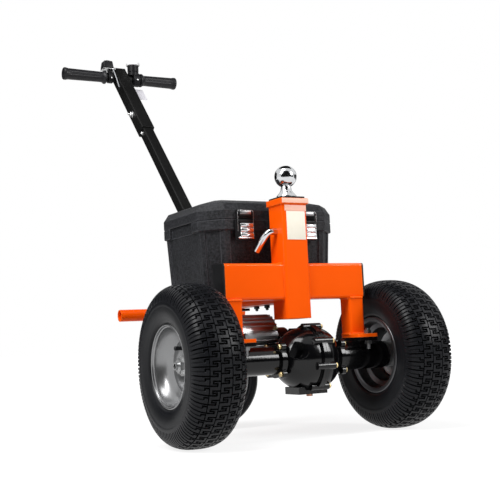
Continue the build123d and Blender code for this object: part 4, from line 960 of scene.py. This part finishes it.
def box_lid():
    """Lid: upright skirt, steep shoulder, low hipped roof, its inside, and the hinge eyes behind."""
    low = SPLIT_Z + LID_GAP
    shoulder = low + LID_SKIRT_H
    roof = shoulder + LID_SHOULDER_H
    top = LID_TOP_Z
    rows = [(low, 4.2, "inner"), (low, 1.2, "skirt"), (low + 1.4, 0.0, "skirt"),
            (shoulder - 1.8, 0.0, "skirt"), (shoulder, 1.3, "skirt"), (roof - 1.2, 10.2, "skirt"),
            (roof + 0.4, 12.6, "skirt"), (top - 0.9, 55.0, "skirt"), (top, 60.0, "skirt"),
            (top, None, "skirt"), (roof - 0.2, None, "inner"), (roof - 0.2, 15.0, "inner"),
            (shoulder, 4.2, "inner"), (low, 4.2, "inner")]
    shapes = [octagon_shell(lid_lines, rows)]
    eye = spun([(-7, 3.3), (-7, 6.2), (-6.2, HINGE_EYE_R), (6.2, HINGE_EYE_R), (7, 6.2), (7, 3.3)], 24,
               closed=True)
    web = moved(soft_block((14, 7, 10), 0.8), 0, -3.6, 6.0)
    for x in (-HINGE_X, HINGE_X):
        shapes += [moved(part, x, BOX_REAR_Y + HINGE_EYE_R, SPLIT_Z + LID_GAP / 2) for part in (eye, web)]
    piece("moulded_lid", shapes, "box_plastic", BOX_PLASTIC, ["box_lid"], "lid", sharp=5)


def ridged_plate(width, height, ridges, depth, thick):
    """Pressed lever: a sheet over width and height whose face swells out as a raised sine."""
    across = np.array([-0.5, -0.47, -0.4, 0.0, 0.4, 0.47, 0.5]) * width
    edge = np.array([0, 0.7, 1, 1, 1, 0.7, 0])
    up = np.linspace(0, height, ridges * 10 + 1)[:, None]
    wave = depth * np.abs(np.sin(pi * ridges * up / height)) ** 0.7
    face = np.stack(np.broadcast_arrays(across, -(thick + wave * edge), up), -1)
    back = face * np.array([1.0, 0.0, 1.0])
    return grid(np.concatenate([face, back[:, ::-1]], 1), round_v=True)


def latches():
    """Each latch: black base, ridged lever on its hinge, black hook on the lid, and over it the wire bail,
    a circle carried along a rounded path, with its bar."""
    lever = moved(ridged_plate(LEVER_S, LEVER_S, 3, 3.6, 1.4), *LEVER_AT)
    hinge = moved(spun([(-19, 0), (-19, 2.6), (19, 2.6), (19, 0)], 16), *LEVER_HINGE_AT)
    rise = [(-BAIL_HALF, y, z) for y, z in BAIL_LEVELS]
    corners = rise + [(-x, y, z) for x, y, z in reversed(rise)]
    bail = swept(circle(BAIL_R, 10), rounded_path(corners, 5.0), (0.0, 1.0, 0.001))
    base, hook, bar = ([moved(soft_block(size, edge), *middle) for size, edge, middle in blocks]
                       for blocks in (LATCH_BASE, LATCH_HOOK, BAIL_BAR))

    def at_both(shapes):
        return [moved(shape, x, BOX_FRONT_Y, SPLIT_Z) for x in (-LATCH_X, LATCH_X) for shape in shapes]

    piece("latch_bases", at_both(base), "control_plastic", CONTROL_PLASTIC)
    piece("latch_ridged_levers", at_both([lever, hinge]), "chrome", LEVER_PLATE, ["latch_levers"], sharp=50)
    piece("lid_catch_hooks", at_both(hook), "control_plastic", CONTROL_PLASTIC, ["lid_catches"], "lid")
    piece("latch_bails", at_both([bail] + bar), "zinc", BAIL_STEEL, (), "lid")


def grip(start):
    """Rubber grip along +X from its inner end: a spin whose radius also follows shallow ribs, a cosine of
    the turn, along the hand's part. Stations are (along, radius, rib height)."""
    end = GRIP_TIP - start
    stations = [(0, 12, 0), (0, 19.5, 0), (1.5, 21.4, 0), (6, 21.4, 0), (8.5, 19, 0), (12, 17.2, 0),
                (17, 16.4, 0.3), (26, 16.2, 0.55), (end / 2, 16.6, 0.6), (end - 24, 17.2, 0.55),
                (end - 16, 17.6, 0.2), (end - 11, 18.6, 0), (end - 8, 19.6, 0), (end - 3, 19.6, 0),
                (end - 1, 18.4, 0), (end, 15.5, 0), (end - 1.4, 11, 0), (end - 1.4, 0, 0)]
    along, radius, rib = (column[:, None] for column in np.array(stations).T)
    angle = np.linspace(0, 2 * pi, 6 * GRIP_RIBS, endpoint=False)
    radius = radius + rib * np.cos(GRIP_RIBS * angle)
    sheet = np.broadcast_arrays(start + along, radius * np.cos(angle), radius * np.sin(angle))
    return grid(np.stack(sheet, -1), round_v=True)


def on_bar(*shapes):
    """Moves shapes from the origin to the handlebar's middle."""
    return [moved(shape, 0.0, BAR_Y, BAR_Z) for shape in shapes]


def bar_clamp(x, radius, half):
    """Clamp ring about X with softened edges."""
    outline = [(-half, BAR_BORE), (-half, radius - 1.5), (1.5 - half, radius), (half - 1.5, radius),
               (half, radius - 1.5), (half, BAR_BORE)]
    return moved(spun(outline, 40, closed=True), x)


def tapered(shape, share):
    """Narrows a shape upwards: both widths shrink in line with the height, by the share at its top."""
    points, quads = shape
    low, high = points[:, 2].min(), points[:, 2].max()
    narrow = 1 - share * (points[:, 2:] - low) / (high - low)
    return np.concatenate([points[:, :2] * narrow, points[:, 2:]], 1), quads


def bar_controls():
    """Grips, the switch on its clamp and plate, and the throttle with its pale cap."""
    grips = on_bar(mirrored(grip(GRIP_FROM_LEFT)), grip(GRIP_FROM_RIGHT))
    piece("rubber_grips", grips, "grip_rubber", GRIP_RUBBER, ["grips"])
    case = tapered(soft_block((35, 34, SWITCH_H), 3.0), 0.2)
    switch = on_bar(bar_clamp(SWITCH_CLAMP_X, SWITCH_CLAMP_R, 8.0),
                    moved(soft_block((12, 16, 16), 1.0), SWITCH_CLAMP_X, 0, 18.0),
                    moved(case, SWITCH_X, 0, SWITCH_UP + SWITCH_H / 2),
                    moved(soft_block((14, 18, 5), 2.0), SWITCH_X, 0, SWITCH_UP + SWITCH_H))
    piece("switch_block", switch, "control_plastic", CONTROL_PLASTIC, ["switch_box"])
    screw = turned(dome(3.2, 2.2), -pi / 2, 2)
    plate = on_bar(moved(soft_block((40, 34, 2), 0.8), SWITCH_X + 2.5, 0, SWITCH_UP - 1),
                   moved(screw, SWITCH_CLAMP_X, 0.6 - SWITCH_CLAMP_R, -4),
                   moved(screw, THROTTLE_CLAMP_X, 0.6 - THROTTLE_CLAMP_R, -4))
    piece("switch_plate", plate, "zinc", ZINC)
    top = THROTTLE_CAP_UP
    body = [(BAR_BORE, 0), (BAR_BORE, 16.5), (13, 18), (21, 18), (22, 16.4), (24.5, 16.4), (25.5, 18),
            (top - 1.5, 18), (top, 16.8), (top, 0)]
    throttle = on_bar(moved(upright(spun(body, 48)), THROTTLE_X),
                      bar_clamp(THROTTLE_CLAMP_X, THROTTLE_CLAMP_R, 11.0))
    piece("throttle_body", throttle, "control_plastic", CONTROL_PLASTIC, ["throttle_pod"])
    cap = [(top, 0), (top, 20.2), (top + 1.4, 22), (top + 7.5, 22), (top + 10, 20), (top + 11, 12),
           (top + 11, 0)]
    lid = on_bar(moved(upright(spun(cap, 48)), THROTTLE_X))
    piece("throttle_lid", lid, "zinc", CAP_WHITE, ["throttle_cap"])


def switch_cord():
    """Lead from the switch to the tiller: a smooth spline over the route's points; its grommet is a spin."""
    start = np.array([LEAD_X, -LEAD_AHEAD, SWITCH_UP - 2.0])
    foot = np.array([-UPPER_HALF, -LEAD_GROMMET_AT * sin(TILLER_LEAN), -LEAD_GROMMET_AT * cos(TILLER_LEAN)])
    middle = (start + foot) / 2 + np.array([0.0, -LEAD_BOW, 0.0])
    route = (np.array([start, middle, foot]) + np.array([0.0, BAR_Y, BAR_Z]) + SHIFT) * MM
    curve = bpy.data.curves.new("switch_cord", "CURVE")
    curve.dimensions = "3D"
    curve.bevel_depth = LEAD_R * MM
    curve.bevel_resolution = 4
    curve.use_fill_caps = True
    spline = curve.splines.new("NURBS")
    spline.points.add(len(route) - 1)
    spline.points.foreach_set("co", np.column_stack([route, np.ones(len(route))]).ravel())
    spline.order_u = 3
    spline.use_endpoint_u = True
    spline.resolution_u = 16
    # Grey of the lead: a painted highlight.
    curve.materials.append(LEAD_HIGHLIGHT_GREY)
    cord = bpy.data.objects.new("switch_cord", curve)
    bpy.context.scene.collection.objects.link(cord)
    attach(cord, "chassis")
    ring = spun([(-3.0, 0), (-3.0, 3.4), (-2.0, 4.8), (-0.6, 5.0), (0, 5.0), (0, 0)], 24)
    grommet = piece("cord_grommet", on_bar(moved(ring, *foot)), "control_plastic", CONTROL_PLASTIC)
    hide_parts("switch_lead")


def on_tiller(distance, *shapes):
    """Puts shapes whose +Z runs up the tiller at a distance down from the handlebar."""
    y, z = BAR_Y - distance * sin(TILLER_LEAN), BAR_Z - distance * cos(TILLER_LEAN)
    return [moved(turned(shape, -TILLER_LEAN), 0.0, y, z) for shape in shapes]


def cross_bolt(distance, half):
    """Bolt through the tiller: washer and hexagon on both sides, the thread's end on the left, the shank."""
    head = bolt_head(half, 10.0, 1.6, 13.5, 6.0)
    thread = moved(spun([(0, 0), (0, 3.8), (5.5, 3.8), (6.5, 3), (6.5, 0)], 16), half + 7)
    shank = spun([(-half, 0), (-half, 5), (half, 5), (half, 0)], 16)
    return on_tiller(distance, *head, *map(mirrored, head + [thread]), shank)


def tiller_details():
    """Hex bolts through the tiller, its plastic top cap and the blank tag behind the upper tube."""
    bolts = [shape for distance, half in CROSS_BOLTS for shape in cross_bolt(distance, half)]
    bolts += on_tiller(SLEEVE_END + 9, *map(mirrored, bolt_head(LOWER_HALF, 5.5, 1.2, 8.0, 4.0)))
    clamp = bolt_head(UPPER_HALF, 8.0, 1.4, 11.0, 6.0)
    bolts += on_tiller(SLEEVE_END - 12, *(turned(shape, pi / 2, 2) for shape in clamp))
    piece("tiller_hex_bolts", bolts, "zinc", ZINC, ["handle_bolts"], sharp=25)
    cap = soft_block((39.6, 39.6, 5), 1.6)
    piece("tiller_top_cap", on_tiller(-UPPER_OVER, cap), "control_plastic", CONTROL_PLASTIC)
    tag = moved(soft_block((76, PLATE_T, 58), 0.3), 36.0, UPPER_HALF + PLATE_T / 2)
    piece("blank_tag", on_tiller(TAG_AT, tag), "black_paint", TAG_WHITE)


def round_axle(shape, count, radius, start):
    """Copies of a shape, evenly spaced on a circle about the drive axle from a start in degrees."""
    angles = radians(start) + 2 * pi * np.arange(count) / count
    return [moved(shape, 0.0, radius * cos(angle), AXLE_Z + radius * sin(angle)) for angle in angles]


def drive_details():
    """Plated bolts of the transaxle's joint and necks, the motor's end plate and the platform's bolts."""
    case_low, case_high = box_mm("diff_case_right")
    left_low = box_mm("diff_case_left")[0]
    motor_low, motor_high = box_mm("motor_body")
    motor_y, motor_z = (motor_low + motor_high)[1:] / 2
    boss = moved(hex_head(10, 6), case_low[0] + BOSS_L)
    heads = round_axle(boss, BOSS_COUNT, BOSS_CIRCLE_R, BOSS_START)
    ear = hex_head(10, 5)
    for head in (moved(mirrored(ear), left_low[0]), moved(ear, case_high[0])):
        heads += round_axle(head, EAR_COUNT, EAR_CIRCLE_R, EAR_START)
    front = turned(hex_head(9, 6), -pi / 2, 2)
    heads.append(moved(front, motor_high[0] - 7.0, motor_y - 45.0, motor_z + 16.0))
    piece("case_bolts", heads, "zinc", YELLOW_ZINC, sharp=25)
    plate = spun([(-4, 0), (-4, 40), (-3, 46), (-1, 48.6), (0, 48.6), (0, 0)], 72)
    piece("motor_end_plate", [moved(plate, motor_low[0], motor_y, motor_z)], "black_paint", GLOSS_BLACK)
    tip = spun([(-12.5, 0), (-11.5, 3.2), (-7, 4), (0, 4)], 16)
    spine_foot = box_mm("spine_tube")[0][2]
    bolts = [moved(upright(shape), 0, y, spine_foot) for y in PLATFORM_BOLTS_Y
             for shape in (tip, mirrored(hex_head(13, 7)))]
    piece("platform_bolts", bolts, "black_paint", GLOSS_BLACK)


def camera():
    """Camera from the solved place and angles: its axes are the turned right, up and forward directions."""
    flat = cos(CAMERA_PITCH)
    forward = Vector((sin(CAMERA_YAW) * flat, cos(CAMERA_YAW) * flat, sin(CAMERA_PITCH)))
    right = Vector((cos(CAMERA_YAW), -sin(CAMERA_YAW), 0))
    up = right.cross(forward)
    turned_right = right * cos(CAMERA_ROLL) + up * sin(CAMERA_ROLL)
    turned_up = up * cos(CAMERA_ROLL) - right * sin(CAMERA_ROLL)
    data = bpy.data.cameras.new("photo_camera")
    data.sensor_fit = "HORIZONTAL"
    data.sensor_width = SENSOR
    data.lens = FOCAL_PX / PHOTO_PX * SENSOR
    data.clip_start = 0.01
    data.clip_end = 100.0
    made = bpy.data.objects.new("photo_camera", data)
    place = (np.array(CAMERA_AT) + SHIFT) * MM
    axes = Matrix((turned_right, turned_up, -forward)).transposed().to_4x4()
    made.matrix_world = Matrix.Translation(place) @ axes
    bpy.context.scene.collection.objects.link(made)
    bpy.context.scene.camera = made


def area_light(name, place, target, size, power):
    """Soft rectangular lamp at a place, turned to a target."""
    data = bpy.data.lights.new(name, "AREA")
    data.shape = "RECTANGLE"
    data.size, data.size_y = size
    data.energy = power
    made = bpy.data.objects.new(name, data)
    made.location = place
    made.rotation_euler = (Vector(target) - Vector(place)).to_track_quat("-Z", "Y").to_euler()
    bpy.context.scene.collection.objects.link(made)


def flat_sheet(name, middle, across, rise, material):
    """Flat sheet of the stage about its middle, along two half sides."""
    middle, across, rise = np.array([middle, across, rise], float)
    corners = [middle + u * across + v * rise for u, v in ((-1, -1), (1, -1), (1, 1), (-1, 1))]
    mesh = bpy.data.meshes.new(name)
    mesh.from_pydata(np.array(corners).tolist(), [], [(0, 1, 2, 3)])
    mesh.materials.append(material)
    made = bpy.data.objects.new(name, mesh)
    bpy.context.scene.collection.objects.link(made)
    return made


def black_card():
    """Matt black of the cards."""
    material, sheet = new_material("black_card")
    matt = sheet.node("BsdfDiffuse", None, {"Color": rgb(0.01, 0.01, 0.01)})
    sheet.node("OutputMaterial", None, {"Surface": matt})
    return material


def dark_cards():
    """Black cards that only reflections see: upright ones round the object, square to their bearing, and a
    level one above it."""
    black = black_card()
    cards = [flat_sheet("flag_above", (1.0, 1.1, 4.2), (2.2, 0, 0), (0, 2.0, 0), black)]
    for name, bearing, distance, width, height in CARDS:
        out = np.array([cos(radians(bearing)), sin(radians(bearing)), 0.0])
        across = np.array([-out[1], out[0], 0.0]) * width / 2
        rise = np.array([0.0, 0.0, height / 2])
        cards.append(flat_sheet(name, CARDS_ROUND + rise + distance * out, across, rise, black))
    for card in cards:
        card.visible_camera = False
        card.visible_diffuse = False
        card.visible_shadow = False
        card.visible_transmission = False


def seen_directly(sheet):
    """1 for rays from the camera, from gloss or through glass, 0 for scattered light."""
    camera_ray, glossy, through = (sheet.node("LightPath", output=f"Is {kind} Ray")
                                   for kind in ("Camera", "Glossy", "Transmission"))
    return sheet.maths("MAXIMUM", sheet.maths("MAXIMUM", camera_ray, glossy), through)


def white_world():
    """Surroundings that are white where they are seen and dim as a light."""
    world = bpy.data.worlds.new("studio")
    bpy.context.scene.world = world
    world.use_nodes = True
    world.node_tree.nodes.clear()
    sheet = Socket(world.node_tree)
    dim, white = (sheet.node("Background", None, {"Color": rgb(1, 1, 1), "Strength": strength})
                  for strength in (SCATTERED_LIGHT, 1.0))
    mixed = sheet.node("MixShader", None, {0: seen_directly(sheet), 1: dim, 2: white})
    sheet.node("OutputWorld", None, {"Surface": mixed})


def pale_floor():
    """Matt pale floor that keeps the shadow and, where it is seen, glows into the white further off."""
    material, sheet = new_material("pale_floor")
    matt = sheet.node("BsdfDiffuse", None, {"Color": rgb(0.66, 0.66, 0.66)})
    glow = sheet.node("Emission", None, {"Color": rgb(1, 1, 1), "Strength": FLOOR_GLOW})
    away = sheet.node("VectorMath", {"operation": "LENGTH"}, {0: object_place(sheet)}, "Value")
    share = FLOOR_GLOW_NEAR + FLOOR_GLOW_RISE * sheet.maths("MINIMUM", away * (1 / FLOOR_GLOW_RUN), 1.0)
    lit = sheet.node("MixShader", None, {0: seen_directly(sheet) * share, 1: matt, 2: glow})
    sheet.node("OutputMaterial", None, {"Surface": lit})
    flat_sheet("floor", (0, 0, 0), (FLOOR_HALF, 0, 0), (0, FLOOR_HALF, 0), material)


dress_nodes()
wheel("left", -1)
wheel("right", 1)
caster_wheel()
hitch()
welds()
battery_box()
box_lid()
latches()
bar_controls()
switch_cord()
tiller_details()
drive_details()
camera()
white_world()
pale_floor()
dark_cards()
for lamp in LAMPS:
    area_light(*lamp)
bpy.context.scene.view_settings.view_transform = "Standard"
